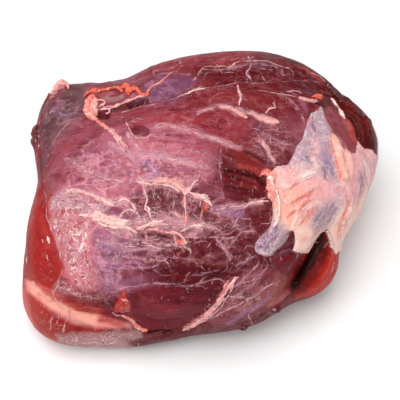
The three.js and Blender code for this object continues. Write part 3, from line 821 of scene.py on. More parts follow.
    "slitRim": ("white", 0.8, [(361, 170), (364, 179), (367, 189)]),
    "wedgeEdge": ("orange", 1.2, [(328, 123), (333, 134), (340, 143), (351, 153)]),
    "heelRag": ("white", 1.6, [(332, 99), (337, 106), (342, 112), (346, 118)]),
}

# Wide fat patches on the meat: route, width in pixels, colour.
fatPatches = {
    "fatA": ([(218, 107), (226, 107), (232, 109), (241, 114), (248, 119)], 6, "shell"),
    "fatB": ([(248, 112), (257, 116), (265, 120), (273, 122), (280, 121)], 8, "shell"),
    "fatBLow": ([(260, 116), (268, 120), (276, 120)], 7, "shell"),
    "fatC": ([(298, 97), (307, 100), (318, 101)], 7, "shell"),
    "fatCTop": ([(286, 92), (296, 91), (302, 94)], 3, "shell"),
    "frayPatch": ([(248, 205), (256, 204), (264, 203)], 4, "shell"),
    "tornSpot": ([(203, 207), (208, 206)], 4, "coral"),
    "knot": ([(183, 188), (187, 191)], 6, "peach"),
    "kneePatch": ([(181, 241), (187, 243)], 5, "peach"),
    "creamMass": ([(92, 214), (104, 218), (118, 222), (130, 225)], 12, "cream"),
    "bandPeach": ([(152, 183), (164, 181), (176, 183), (184, 188)], 9, "peach"),
    "upperMass": ([(64, 190), (84, 192), (100, 199), (114, 206)], 6, "blush"),
    "salmonPatch": ([(160, 126), (176, 126), (190, 130), (202, 134)], 8, "rose"),
    "orangeBit": ([(262, 176), (267, 171), (272, 176), (271, 184)], 7, "orange"),
    "hazeMass": ([(124, 154), (140, 157), (156, 155), (172, 157)], 6, "veil"),
    "lowMass": ([(136, 229), (150, 225), (162, 222)], 6, "blush"),
}

# Colours of bare muscle, and the near-black brown of painted shade, which have no film over them.
bareColours = ("blood", "crimson", "ruby", "maroon", "garnet", "cocoa", "scarlet", "shadeBrown", "rust", "claret")
# Patches with a clear edge: outline in the photo, colour, strength, softness of the edge in mm,
# how wrinkled the skin is there, and how far its fibres are hidden.
patches = {
    "flank": ([
        (20, 280), (22, 250), (28, 225), (34, 195), (37, 182), (44, 186), (46.5, 203), (49, 215),
        (51.5, 229), (55, 240), (60, 253), (65, 267), (56, 281), (52, 290), (40, 283), (27, 280),
    ], "blood", 0.85, 0.7, 0.0, 0.85),
    "flankLow": ([
        (27, 287), (37, 294), (48, 303), (61, 311), (72, 318), (90, 325), (110, 328), (100, 334), (60, 334),
        (38, 334), (30, 310),
    ], "blood", 0.75, 1.5, 0.3, 0.7),
    "wetPatch": ([
        (51, 196), (70, 198), (89, 210), (94, 227), (90, 243), (94, 267), (101, 290), (84, 292), (72, 284),
        (65, 267), (60, 253), (55, 240), (51, 227), (47, 205),
    ], "rose", 0.7, 1.2, 1.0, 0.9),
    "wetGrey": ([
        (51, 200), (62, 188), (80, 192), (100, 200), (112, 208), (104, 215), (90, 214), (70, 210),
        (52, 208),
    ], "haze", 0.6, 2.0, 1.0, 0.8),
    "lilacFilm": ([
        (93, 228), (115, 231), (124, 244), (122, 262), (118, 284), (103, 298), (98, 280), (94, 262),
        (91, 245),
    ], "mauve", 0.7, 2.5, 0.5, 0.4),
    "lowBerry": ([
        (60, 276), (72, 284), (84, 292), (101, 291), (104, 300), (92, 304), (76, 300), (62, 296), (54, 290),
    ], "berry", 0.7, 1.4, 0.8, 0.3),
    "cornerFace": ([
        (40, 112), (48, 98), (58, 88), (85, 86), (84, 100), (84, 118), (74, 121), (60, 136), (51, 152),
        (44, 170), (38, 182), (36, 150),
    ], "dusk", 0.6, 0.8, 0.0, 0.3),
    "backDark": ([
        (152, 84), (185, 76), (200, 80), (190, 88), (176, 93), (160, 98), (148, 103), (128, 106), (130, 99),
        (146, 96),
    ], "grape", 0.75, 1.2, 0.0, 0.3),
    "crimsonWide": ([
        (131, 292), (160, 285), (194, 287), (222, 281), (214, 302), (200, 316), (184, 328), (150, 327),
        (132, 314),
    ], "crimson", 0.7, 1.4, 0.0, 0.3),
    "darkBand": ([
        (120, 271), (170, 266), (210, 264), (228, 268), (220, 278), (194, 284), (160, 282), (124, 287),
    ], "maroon", 0.7, 1.2, 0.0, 0.0),
    "slab": ([
        (270, 274), (284, 268), (294, 268), (288, 284), (284, 300), (272, 306), (262, 300),
    ], "sienna", 0.75, 1.0, 0.0, 0.5),
    "lobeRight": ([
        (276, 258), (290, 254), (303, 257), (298, 267), (288, 277), (276, 270),
    ], "crimson", 0.85, 0.8, 0.0, 0.6),
    "fissureBlock": ([
        (222, 158), (246, 150), (268, 160), (262, 172), (270, 188), (266, 200), (240, 202), (224, 198),
    ], "garnet", 0.7, 1.0, 0.1, 0.4),
    "wedge": ([
        (324, 108), (336, 104), (348, 120), (356, 136), (357, 150), (351, 153), (343, 148), (339, 139),
        (333, 134), (328, 123),
    ], "rosewood", 0.75, 0.8, 0.0, 0.9),
    "heel": ([
        (330, 84), (345, 102), (360, 112), (374, 128), (377, 150), (366, 148), (358, 141), (350, 120),
        (338, 104),
    ], "cocoa", 0.85, 0.8, 0.0, 0.3),
    "webDark": ([
        (148, 189), (164, 189), (180, 194), (184, 206), (170, 213), (150, 211),
    ], "claret", 0.7, 1.2, 0.35, 0.3),
    "frontFilm": ([
        (236, 276), (262, 268), (282, 276), (270, 298), (246, 320), (214, 326), (206, 320), (222, 304),
    ], "berry", 0.55, 1.5, 0.4, 0.2),
    "bulbRed": ([
        (327, 233), (333, 248), (338, 256), (338, 266), (332, 282), (320, 294), (302, 298), (293, 295),
        (300, 282), (318, 258),
    ], "scarlet", 0.8, 0.8, 0.0, 0.8),
    "salmonBand": ([
        (25, 280), (33, 283), (46, 294), (57, 300), (68, 308), (90, 318), (120, 322), (132, 324),
        (132, 328), (95, 328), (70, 322), (60, 316), (50, 309), (38, 299), (27, 290),
    ], "shell", 0.6, 2.2, 0.0, 0.0),
    "underside": ([
        (56, 334), (80, 333), (110, 331), (142, 330), (142, 337), (126, 343), (100, 348), (72, 347),
        (58, 342),
    ], "ash", 0.7, 1.6, 0.75, 0.5),
    # the lobes by the fissures lighter on top: their red-brown tone with painted light on their tops
    "fissureLobe": ([
        (232, 152), (246, 151), (262, 162), (266, 172), (254, 172), (238, 168),
    ], "brick", 0.5, 1.2, 0.0, 0.5),
    "fissureLobeTwo": ([
        (238, 179), (254, 179), (262, 187), (250, 188), (238, 186),
    ], "brick", 0.45, 1.2, 0.0, 0.5),
    "pinkCentre": ([
        (124, 142), (150, 140), (186, 146), (210, 160), (218, 172), (200, 184), (172, 180), (140, 180),
        (122, 172), (116, 156),
    ], "orchid", 0.45, 3.0, 0.4, 0.2),
    # the pocket's painted shadow: maroon across it, and near-black brown along its deepest side
    "pocketShade": ([
        (327, 229), (319, 239), (308, 256), (298, 271), (290, 284), (291, 295), (303, 291), (316, 274),
        (326, 256), (330, 244),
    ], "maroon", 0.75, 2.0, 0.0, 1.0),
    "pocketShadow": ([
        (326, 230), (317, 242), (307, 257), (298, 271), (290, 284), (292, 292), (300, 285), (310, 270),
        (320, 254), (327, 240),
    ], "shadeBrown", 0.95, 1.2, 0.0, 1.0),
}


def paintPatches():
    jitter = clouds(skin, 3.5, 35) - 0.5
    pixels = photoPixels(skin)
    for outline, colour, strength, soft, wrinkled, smooth in patches.values():
        low, high = np.min(outline, 0) - 6, np.max(outline, 0) + 6
        near = np.nonzero(seen & (pixels > low).all(1) & (pixels < high).all(1))[0]
        depth = insideBy(outline, pixels[near]) * cameraValues["pixelSize"] + jitter[near] * min(3, soft * 2)
        turned = ease(0.0, 0.25, towards[near])
        inside = ease(-soft, soft, depth) * turned
        stain(tint, near, colour, inside * strength)
        wide = ease(-2.0, 5.0, depth) * turned
        crinkle[near] = crinkle[near] * (1 - wide) + wrinkled * wide
        calm[near] = calm[near] * (1 - inside) + smooth * inside
        if colour in bareColours:
            film[near] *= 1 - inside * 0.8
            web[near] *= 1 - inside * 0.8


def pressGrooves():
    for route, wide, depth, paintedShade in grooves.values():
        reach = halfWidth(wide)
        near, off, along = distanceTo(traced(route, onPhoto), reach * 2.5)
        soft = (1 - ease(0.1, 1.4, off / reach)) * fading(along, 0.15, 0.02)
        height[near] -= soft * depth
        # painted shade: the groove darkens the tint and the mask that the material reads
        stain(tint, near, "shadeBrown", soft * paintedShade * 0.8)
        film[near] *= 1 - soft
        grooveShade[near] = np.maximum(grooveShade[near], soft * paintedShade)


def openWindows():
    for (x, y), (wide, tall), turn in windows.values():
        centre = np.array(onPhoto(x, y)) / mm
        near = np.nonzero(np.linalg.norm(skin - centre, axis=1) < wide * 1.6)[0]
        spot = photoPixels(skin[near]) - (x, y)
        angle = math.radians(turn)
        across = spot[:, 0] * math.cos(angle) + spot[:, 1] * math.sin(angle)
        upright = -spot[:, 0] * math.sin(angle) + spot[:, 1] * math.cos(angle)
        r = np.hypot(across / wide, upright / tall) + (clouds(skin[near], 4, 41) - 0.5) * 0.3
        soft = 1 - ease(0.82, 1.05, r)
        height[near] -= soft * 0.5
        stain(tint, near, "garnet", soft * 0.75)
        film[near] *= 1 - soft * 0.8


def layFat(route, reach, colour, cover, rise):
    # raises and colours the skin along a route, with a ragged edge
    near, off, along = distanceTo(route, reach * 2.4)
    ragged = off / reach + (clouds(skin[near], 2.6, 51) - 0.5) * 0.9
    value = np.clip(1.2 - ragged * 0.7, 0, 1) * fading(along, 0.1) * cover
    height[near] += ease(0.2, 0.9, value) * rise
    stain(fatTint, near, colour, ease(0.1, 0.6, value))
    fat[near] = np.maximum(fat[near], value)


paintPatches()
paintStrokes(smears, clouds(alongFibres, 2.0, 31), tint, (0.35, 1.15), 0.12)
openWindows()
pressGrooves()
for route, wide, colour in fatPatches.values():
    layFat(traced(route, onPhoto), halfWidth(wide), colour, 1.0, 0.5)
strandRoutes = {}
for name, (kind, wide, route) in strands.items():
    colour, cover = strandKinds[kind]
    strandRoutes[name] = traced(route, onPhoto)
    if kind != "mist":
        layFat(strandRoutes[name], wide * 0.8, colour, cover * 0.75, 0.25)
print("strands painted")

# Ridges of the fat cap, thick cords, in millimetres of rise.
ridges = {
    "cord": ([(329, 134), (335, 140), (339, 148), (340, 160), (343, 168), (345, 182)], 8, 1.9, "salmon"),
    # painted highlight along the crest of the cord
    "cordHighlight": ([(334, 142), (337, 152), (338, 162), (341, 172), (343, 182)], 4, 0.4, "cream"),
    "lower": ([(346, 190), (350, 199), (347, 213), (342, 220), (338, 240)], 7, 1.2, "peach"),
    "oval": ([(315, 98), (321, 98)], 7, 1.4, "orange"),
    "pocketRim": ([(327, 229), (330, 239), (332, 249), (336, 253)], 5, 1.0, "bone"),
    "cornerRim": ([(50, 100), (58, 90), (66, 86)], 5, 1.0, "rose"),
}
for route, wide, rise, colour in ridges.values():
    layFat(traced(route, onPhoto), halfWidth(wide), colour, 1.0, rise)

# Soft swellings without a colour: route, width in pixels, rise in mm.
swells = {
    "bulb": ([(333, 252), (327, 267), (316, 281), (302, 290)], 20, 2.4),
    "lobe": ([(280, 264), (298, 258)], 12, 1.2),
    "fissureUpper": ([(232, 158), (250, 166), (264, 173)], 10, 1.2),
    "heel": ([(352, 116), (368, 134)], 16, 1.4),
    "fissureMiddle": ([(230, 178), (246, 182), (262, 190)], 9, 1.1),
    "wedge": ([(334, 114), (350, 144)], 14, 1.2),
    "fissureLower": ([(228, 193), (256, 195)], 8, 0.8),
    "slab": ([(290, 276), (272, 300)], 12, 1.0),
    "darkLobe": ([(280, 158), (290, 154)], 12, 1.0),
    "heelNotch": ([(341, 98), (350, 104)], 15, -2.4),
    "heelKnob": ([(363, 117), (371, 122)], 10, 1.5),
    "bulbFoldOne": ([(318, 262), (330, 268)], 4, 0.7),
    "bulbFoldTwo": ([(312, 272), (324, 279)], 4, 0.7),
    "bulbFoldThree": ([(322, 252), (334, 258)], 4, 0.6),
    "salmonBand": ([(30, 286), (60, 303), (100, 320)], 12, 0.8),
}
for route, wide, rise in swells.values():
    reach = halfWidth(wide)
    near, off, along = distanceTo(traced(route, onPhoto), reach * 1.8)
    height[near] += (1 - ease(0, 1.6, off / reach)) * fading(along, 0.2, 0.1) * rise

# Knobby edges: pixel, reach in mm, strength.
knobSpots = {
    "rimRight": (330, 88, 11, 1.0), "rimRightLow": (344, 104, 9, 0.8), "backRight": (300, 70, 10, 0.6),
    "backLeft": (100, 84, 14, 0.8), "backMiddle": (150, 72, 14, 0.8), "backTop": (200, 62, 12, 0.6),
    "heel": (366, 124, 14, 0.9), "lowRight": (262, 312, 12, 0.5), "corner": (60, 96, 9, 0.5),
    "underside": (100, 342, 14, 0.5),
}
knobs = spread(knobSpots, 0.0)

# Relief all over: size of the bumps in mm, and their height in mm.
reliefValues = {
    "knobs": (4.5, 4.4),
    "creases": (5.5, 0.55),
    "fibres": (4.0, 0.6),
    "muscle": (14, 1.2),
}


def bumps(kind, where, seed, octaves=3):
    size, rise = reliefValues[kind]
    return (clouds(where, size, seed, octaves) - 0.5) * rise


height += bumps("knobs", skin, 81, 2) * knobs
creaseSize, creaseRise = reliefValues["creases"]
creases = np.abs(clouds(skin, creaseSize, 61, 2) - 0.5) * 2
height += (crinkle - coverValues["crinkle"]) * (1 - ease(0.0, 0.3, creases)) * creaseRise
height += bumps("fibres", alongFibres, 71) * (1 - cap)
height += bumps("muscle", skin, 72) * (1 - cap)

# Near the floor nothing swells outwards, and the flat underside stays flat.
underValues = {"low": 1.5, "lowest": 0.5, "facing": -0.97}
sunk = skin[:, 2] < underValues["low"]
height[sunk] = np.minimum(height[sunk], 0)
flat = skinNormals[:, 2] < underValues["facing"]
height[flat & (skin[:, 2] < underValues["lowest"])] = 0
storePlaces(meat, (skin + skinNormals * height[:, None]) * mm)
applied(meat, "SMOOTH", factor=0.3, iterations=1)

for layer, values in {"tint": tint, "capTint": capTint, "fatTint": fatTint}.items():
    storeColour(meat, layer, values)
numbers = {"fat": fat, "cap": capDepth, "film": film, "web": web, "crinkle": crinkle, "grooveShade": grooveShade,
           "calm": calm}
for layer, values in numbers.items():
    storeNumber(meat, layer, values)
storeVector(meat, "grain", grain)
pickOnly(meat)
bpy.ops.object.shade_smooth()
tree = BVHTree.FromObject(meat, bpy.context.evaluated_depsgraph_get())
print("relief made")


# Materials.
class Signal:
    # wraps a socket, so that shader maths reads as plain expressions
    def __init__(self, finish, socket):
        self.finish = finish
        self.socket = socket

    def maths(self, operation, *others, flipped=False):
        values = [self, *others]
        if flipped:
            values.reverse()
        return self.finish.node("ShaderNodeMath", {"operation": operation}, dict(enumerate(values)))

    def __add__(self, other):
        return self.maths("ADD", other)

    def __sub__(self, other):
        return self.maths("SUBTRACT", other)

    def __rsub__(self, other):
        return self.maths("SUBTRACT", other, flipped=True)

    def __mul__(self, other):
        return self.maths("MULTIPLY", other)

    def __truediv__(self, other):
        return self.maths("DIVIDE", other)

    def __rtruediv__(self, other):
        return self.maths("DIVIDE", other, flipped=True)

    __radd__ = __add__
    __rmul__ = __mul__

    def within(self, low, high):
        # 0 below low and 1 above high
        return self.finish.node("ShaderNodeMapRange", {"interpolation_type": "SMOOTHSTEP"},
                                {"Value": self, "From Min": low, "From Max": high})


class Finish:
    def __init__(self, name):
        self.material = bpy.data.materials.new(name)
        self.material.use_nodes = True
        self.nodes = self.material.node_tree.nodes
        self.links = self.material.node_tree.links
        self.nodes.clear()

    def node(self, kind, settings=None, inputs=None, output=0):
        made = self.nodes.new(kind)
        for key, value in (settings or {}).items():
            setattr(made, key, value)
        for key, value in (inputs or {}).items():
            if isinstance(value, Signal):
                self.links.new(value.socket, made.inputs[key])
            else:
                made.inputs[key].default_value = value
        return None if output is None else Signal(self, made.outputs[output])

    def attribute(self, name, output="Fac"):
        return self.node("ShaderNodeAttribute", {"attribute_name": name}, output=output)

    def noise(self, where, scale, detail=2.0, rough=0.5, distortion=0.0):
        return self.node("ShaderNodeTexNoise", None, {"Vector": where, "Scale": scale, "Detail": detail,
                                                      "Roughness": rough, "Distortion": distortion})

    def mixed(self, factor, a, b, blend="MIX"):
        settings = {"data_type": "RGBA", "blend_type": blend}
        return self.node("ShaderNodeMix", settings, {0: factor, 6: a, 7: b}, output=2)

    def scaled(self, vector, amounts):
        return self.node("ShaderNodeVectorMath", {"operation": "MULTIPLY"}, {0: vector, 1: amounts})

    def bent(self, vector, where, scale, amount):
        # a place pushed about by noise
        push = self.node("ShaderNodeTexNoise", None, {"Vector": where, "Scale": scale, "Detail": 3},
                         output="Color")
        push = self.node("ShaderNodeVectorMath", {"operation": "SUBTRACT"}, {0: push, 1: (0.5, 0.5, 0.5)})
        push = self.scaled(push, (amount, amount, amount))
        return self.node("ShaderNodeVectorMath", {"operation": "ADD"}, {0: vector, 1: push})

    def walls(self, where, speck, scale, wide):
        # thin lines between the cells of a net
        cells = self.node("ShaderNodeTexVoronoi", {"feature": "DISTANCE_TO_EDGE"},
                          {"Vector": where, "Scale": scale, "Randomness": 1.0}, output="Distance")
        return (cells + (speck - 0.5) * wide).within(wide, wide * 0.2)

    def curls(self, where, scale, shift):
        # soft noise round 0, whose zero lines are squiggles
        moved = self.node("ShaderNodeVectorMath", {"operation": "ADD"}, {0: where, 1: (shift, shift, 0)})
        return self.noise(moved, scale, 1.0, 0.5, 0.9) - 0.5

    def maximum(self, a, b):
        return self.node("ShaderNodeMath", {"operation": "MAXIMUM"}, {0: a, 1: b})

    def bump(self, height, depth, strength=1.0):
        return self.node("ShaderNodeBump", None, {"Height": height, "Distance": depth, "Strength": strength})

    def surface(self, **inputs):
        named = {key.replace("_", " "): value for key, value in inputs.items()}
        shader = self.node("ShaderNodeBsdfPrincipled", None, named)
        self.node("ShaderNodeOutputMaterial", None, {"Surface": shader}, output=None)
        return self.material


def flat4(name, gain=1.0):
    return (*[min(1, c * gain) for c in hue(name)], 1)


meatLook = {
    "rough": 0.4,
    "specular": 0.04,
    "coat": 0.07,              # wet shine all over
    "wetCoat": 0.4,            # and where the skin is wrinkled and wet
    "coatRough": 0.12,
    "bump": 0.0008,            # depth of the finest relief, in m
    "bumpStrength": 0.7,
    "film": 0.75,              # strengths of the layers
    "web": 0.8,
    "wrinkleHighlights": 0.55,
    "glintTicks": 0.6,
    "fat": 0.95,
    # strength of the painted shade in the grooves
    "grooves": 0.9,
    "subsurface": 0.05,
    "subsurfaceReach": (1.0, 0.3, 0.2),
    "subsurfaceScale": 0.0015,
}


def meatFinish():
    f = Finish("wetMeat")
    where = f.node("ShaderNodeTexCoord", output="Object")
    grainAt = f.attribute("grain", "Vector")
    fat, film, web = f.attribute("fat"), f.attribute("film"), f.attribute("web")
    crinkle, grooveShade, calm = f.attribute("crinkle"), f.attribute("grooveShade"), f.attribute("calm")
    fine = f.noise(where, 1100, 3, 0.6)
    speck = f.noise(where, 480, 4, 0.65)
    broad = f.noise(where, 60, 4, 0.6, 0.6)
    band = f.noise(f.scaled(grainAt, (0.3, 1, 1)), 0.15, 4, 0.6, 0.8)
    fibre = f.noise(f.scaled(grainAt, (0.14, 1, 1)), 0.9, 3, 0.6, 0.4)
    thread = f.noise(f.scaled(grainAt, (0.09, 1, 1)), 2.4, 2, 0.6)

    # bare muscle, with darker and lighter fibres
    tint = f.attribute("tint", "Color")
    dark = f.mixed(1.0, tint, (0.62, 0.42, 0.46, 1), "MULTIPLY")
    light = f.mixed(1.0, tint, (1.3, 1.35, 1.3, 1), "MULTIPLY")
    uneven = ((band - 0.5) * 1.6 + (fibre - 0.5) * 1.2) * (1 - calm * 0.85) + (broad - 0.5) * 1.1
    colour = f.mixed(uneven.within(0.02, -0.35), tint, dark)
    colour = f.mixed(thread.within(0.5, 0.8) * 0.5 * (1 - calm * 0.8), colour, light)

    # milky film in drifts, with torn edges
    drift = uneven + (speck - 0.5) * 0.7
    colour = f.mixed(drift.within(0.0, 0.55) * film * meatLook["film"], colour, flat4("veil"))
    lilacAt = (f.noise(where, 75, 4, 0.65, 1.0) + (fibre - 0.5) * 0.4).within(0.52, 0.68)
    colour = f.mixed(lilacAt * film * 0.5, colour, flat4("steel"))

    # crisp pale patches where the film lies double, with darker meat beside them
    lace = f.noise(where, 120, 6, 0.62, 0.6) + (fibre - 0.5) * 0.3
    colour = f.mixed(lace.within(0.47, 0.41) * film * 0.6, colour, dark)
    colour = f.mixed(lace.within(0.53, 0.57) * film * meatLook["film"], colour, flat4("veil"))

    marks = f.noise(where, 230, 4, 0.6, 0.5)
    colour = f.mixed(marks.within(0.55, 0.6) * film * 0.55, colour, flat4("blush"))

    # fine web: pale walls round darker cells
    netAt = f.bent(f.scaled(grainAt, (0.45, 1, 1)), where, 150, 5.0)
    big, small = f.walls(netAt, speck, 0.13, 0.075), f.walls(netAt, speck, 0.3, 0.1)
    gaps = f.noise(where, 130, 3, 0.6)
    colour = f.mixed((1 - big) * web * gaps.within(0.6, 0.4) * 0.5, colour, dark)
    colour = f.mixed(small * web * gaps.within(0.45, 0.6) * 0.6, colour, flat4("veil"))
    netting = big * web * gaps.within(0.38, 0.55)
    colour = f.mixed(netting * meatLook["web"], colour, flat4("shell"))

    # squiggles of wet wrinkled skin, with painted shade in their hollows and painted highlights on their
    # ridges, and small painted glints that lie across the fibres
    curl, curlSmall = f.curls(where, 190, 0.3), f.curls(where, 330, 0.7)
    wet = crinkle.within(0.35, 0.8)
    # painted shade in the hollows of the wrinkles
    hollowShade = f.mixed(1.0, tint, (0.78, 0.42, 0.42, 1), "MULTIPLY")
    colour = f.mixed(curl.within(0.0, -0.08) * wet * 0.7, colour, hollowShade)
    colour = f.mixed(curlSmall.within(0.02, 0.12) * wet * 0.4, colour, flat4("veil"))
    # painted highlights: pale lines along the ridges of the wrinkles
    line = (curl * curl * 1100).within(1.0, 0.2) * broad.within(0.35, 0.5)
    lineSmall = (curlSmall * curlSmall * 700).within(1.0, 0.2) * broad.within(0.6, 0.45)
    wrinkled = f.maximum(line, lineSmall * 0.8) * wet
    colour = f.mixed(wrinkled * meatLook["wrinkleHighlights"], colour, flat4("bone"))
    # painted glints: short white ticks of wet shine across the fibres
    tick = f.noise(f.bent(f.scaled(grainAt, (1.5, 0.55, 0.55)), where, 120, 2.5), 1.0, 2, 0.5)
    patchy = f.noise(where, 90, 3, 0.6)
    glintTicks = tick.within(0.62, 0.69) * crinkle.within(0.1, 0.6) * patchy.within(0.45, 0.6)
    colour = f.mixed(glintTicks * meatLook["glintTicks"], colour, flat4("bone"))
    # painted highlights: small bright specks of wet shine, more where the skin is wrinkled
    glint = f.noise(where, 520, 2, 0.5, 0.8).within(0.68, 0.73) * (0.15 + crinkle * 0.6)
    colour = f.mixed(glint, colour, flat4("bone"))

    # painted shade in the grooves and the pocket: a near-black brown
    colour = f.mixed(grooveShade.within(0.1, 0.9) * meatLook["grooves"], colour, flat4("shadeBrown"))

    # fat patches, and then the fat cap over everything
    edge = (fat + (speck - 0.5) * 1.1 + (fibre - 0.5) * 0.9).within(0.45, 0.85)
    fatColour = f.mixed(speck.within(0.4, 0.7) * 0.6, f.attribute("fatTint", "Color"), flat4("rose"))
    fatColour = f.mixed(fibre.within(0.5, 0.75) * 0.5, fatColour, flat4("bone"))
    colour = f.mixed(edge * meatLook["fat"], colour, fatColour)

    capEdge = (f.attribute("cap") + (speck - 0.5) * 1.8 + (broad - 0.5) * 1.5).within(-0.2, 0.4)
    veil = f.noise(where, 110, 4, 0.65, 1.2)
    folds = f.noise(where, 70, 3, 0.55, 1.6)
    capColour = f.attribute("capTint", "Color")
    capColour = f.mixed(veil.within(0.52, 0.7) * 0.45, capColour, flat4("bone"))
    capColour = f.mixed(veil.within(0.48, 0.3) * 0.35, capColour, flat4("salmon"))
    foldLine = (folds - 0.5) * (folds - 0.5)
    capColour = f.mixed((foldLine * 1200).within(1.2, 0.1) * 0.3, capColour, flat4("bone"))
    colour = f.mixed(capEdge, colour, capColour)

    grit = fine * 0.25 + thread * 0.5 + speck * 0.4
    raised = wrinkled * 0.9 + glintTicks * 0.7 + netting * 0.6 + edge * 0.9 + capEdge * 0.6
    rough = meatLook["rough"] + fine * 0.2 - crinkle * 0.12
    wetness = meatLook["coat"] + crinkle * meatLook["wetCoat"] + calm * 0.15
    shine = speck.within(0.4, 0.6) * wetness * (1 - grooveShade)
    return f.surface(Base_Color=colour, Roughness=rough, Specular_IOR_Level=meatLook["specular"],
                     Normal=f.bump(grit + raised, meatLook["bump"], meatLook["bumpStrength"]),
                     Coat_Weight=shine, Coat_Roughness=meatLook["coatRough"],
                     Subsurface_Weight=meatLook["subsurface"],
                     Subsurface_Radius=meatLook["subsurfaceReach"],
                     Subsurface_Scale=meatLook["subsurfaceScale"])


meat.data.materials.append(meatFinish())
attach(meat, "root")
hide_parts("roast")
print("meat finished")

# The web of fat strands, laid on the meat.
webValues = {
    "step": 1.0,          # mm between rings
    "halo": (2.2, 1.4),   # width of a ribbon: times the strand, plus mm
    "lift": 0.12,         # mm that the thin edges lie above the skin
    "tuck": 0.15,         # mm that the outermost edges go under it
    "crown": 0.24,        # height of a strand as a share of its width
    "kink": 1.0,          # mm that a strand sways
    "twigEvery": 6.0,     # mm of strand for each side branch
    "twigLength": (4, 10),
    "twigWidth": 0.45,
    "seed": 7,
}
draw = random.Random(webValues["seed"])


def newParts():
    return {"verts": [], "faces": [], "tint": [], "cover": [], "flow": [], "core": [], "rim": [], "mist": []}


def snapped(place):
    # the nearest place on the finished skin, and its normal
    spot, normal, _, _ = tree.find_nearest(Vector(place) * mm)
    return np.array(spot) / mm, np.array(normal)


def evenly(route, step):
    # a route with even steps, and the distance of each point along it
    at = np.concatenate([[0], np.cumsum(np.linalg.norm(np.diff(route, axis=0), axis=1))])
    marks = np.linspace(0, at[-1], max(3, int(at[-1] / step)) + 1)
    return np.column_stack([np.interp(marks, at, route[:, k]) for k in range(3)]), marks


def layStrand(parts, route, wide, colour, cover, mist=0.0, kink=1.0):
    # one closed, thin ribbon that follows the skin, with the strand as its thick middle
    line, marks = evenly(route, webValues["step"])
    phase = draw.uniform(0, 900)
    sway = np.column_stack([marks + phase, marks * 0, marks * 0])
    swing = (clouds(sway, 6.0, 3, 3) - 0.5) * 2 * webValues["kink"] * kink
    swell = 0.15 + clouds(sway, 4.0, 5, 2) * 1.5
    ends = np.minimum(1, np.minimum(marks, marks[-1] - marks) / max(3.0, wide * 1.5)) ** 0.7
    ends = np.maximum(ends, 0.08)
    runs = np.gradient(line, axis=0)
    runs /= np.linalg.norm(runs, axis=1)[:, None] + 1e-9
    half = (wide * webValues["halo"][0] + webValues["halo"][1]) / 2
    core = wide / 2
    if mist:
        half, core = wide, 0.3
    lift, tuck = webValues["lift"], webValues["tuck"]
    crown = core * 2 * webValues["crown"]
    section = [(-1, -tuck), (-0.85, lift), (-core / half, lift + crown * 0.4), (0, lift + crown),
               (core / half, lift + crown * 0.4), (0.85, lift), (1, -tuck), (0, -0.6)]
    first, sides = len(parts["verts"]), len(section)
    for i in range(len(line)):
        side = np.cross(snapped(line[i])[1], runs[i])
        side /= np.linalg.norm(side) + 1e-9
        for across, rise in section:
            spot, up = snapped(line[i] + side * (swing[i] + across * half * ends[i]))
            rise = rise * (0.4 + 0.6 * ends[i]) if rise > 0 else rise
            parts["verts"].append((spot + up * rise) * mm)
            parts["tint"].append(hue(colour))
            parts["cover"].append(cover)
            parts["core"].append(core * swell[i] * ends[i])
            parts["flow"].append((marks[i] + phase, across * half * ends[i], phase))
            parts["rim"].append(1 - abs(across) if rise >= 0 else 0)
            parts["mist"].append(mist)
    for i, k in itertools.product(range(len(line) - 1), range(sides)):
        a, b = first + i * sides + k, first + i * sides + (k + 1) % sides
        parts["faces"].append((a, a + sides, b + sides, b))
    last = len(parts["verts"]) - sides
    parts["faces"].append(tuple(range(first, first + sides)))
    parts["faces"].append(tuple(range(last + sides - 1, last - 1, -1)))
    return line


def layBundle(parts, route, wide, colour, cover):
    # a strand and its thin side branches
    line = layStrand(parts, route, wide, colour, cover)
    length = np.linalg.norm(np.diff(line, axis=0), axis=1).sum()
    for _ in range(int(length / webValues["twigEvery"])):
        start = draw.randrange(1, len(line) - 1)
        spot, up = snapped(line[start])
        run = line[start] - line[start - 1]
        run /= np.linalg.norm(run) + 1e-9
        turn = draw.choice((-1, 1)) * draw.uniform(0.3, 1.2)
        bend = draw.uniform(-0.15, 0.15)
        twig = [spot]
        for _ in range(int(draw.uniform(*webValues["twigLength"]))):
            spot, up = snapped(twig[-1] + run * math.cos(turn) + np.cross(up, run) * math.sin(turn))
            twig.append(spot)
            turn += bend
        thin = webValues["twigWidth"] * draw.uniform(0.6, 1.4)
        layStrand(parts, np.array(twig), thin, colour, cover * 0.7)


# Small wet glints in clusters, painted as highlights with near-white ribbons. Values in pixels, but the
# width in mm.
glintValues = {
    "length": (1.6, 4.6),
    "width": (0.22, 0.5),
    "lean": 0.35,              # as a share of the length
    "bow": 0.3,
    "seed": 5,
}
# Left, top, right and bottom pixel of each area, and how many.
glintClusters = {
    "boxLeft": (131, 190, 149, 206, 16), "boxRight": (155, 190, 184, 208, 20),
    "middle": (150, 132, 222, 176, 60), "leftTop": (72, 148, 122, 184, 34), "wet": (56, 205, 92, 284, 46),
    "net": (112, 232, 196, 264, 40), "fissures": (224, 152, 264, 204, 22),
    "flapSide": (98, 124, 128, 152, 12), "low": (150, 262, 222, 300, 14),
    "flankLow": (44, 308, 66, 328, 10), "right": (206, 206, 262, 262, 24),
    "underside": (66, 333, 138, 345, 22),
}


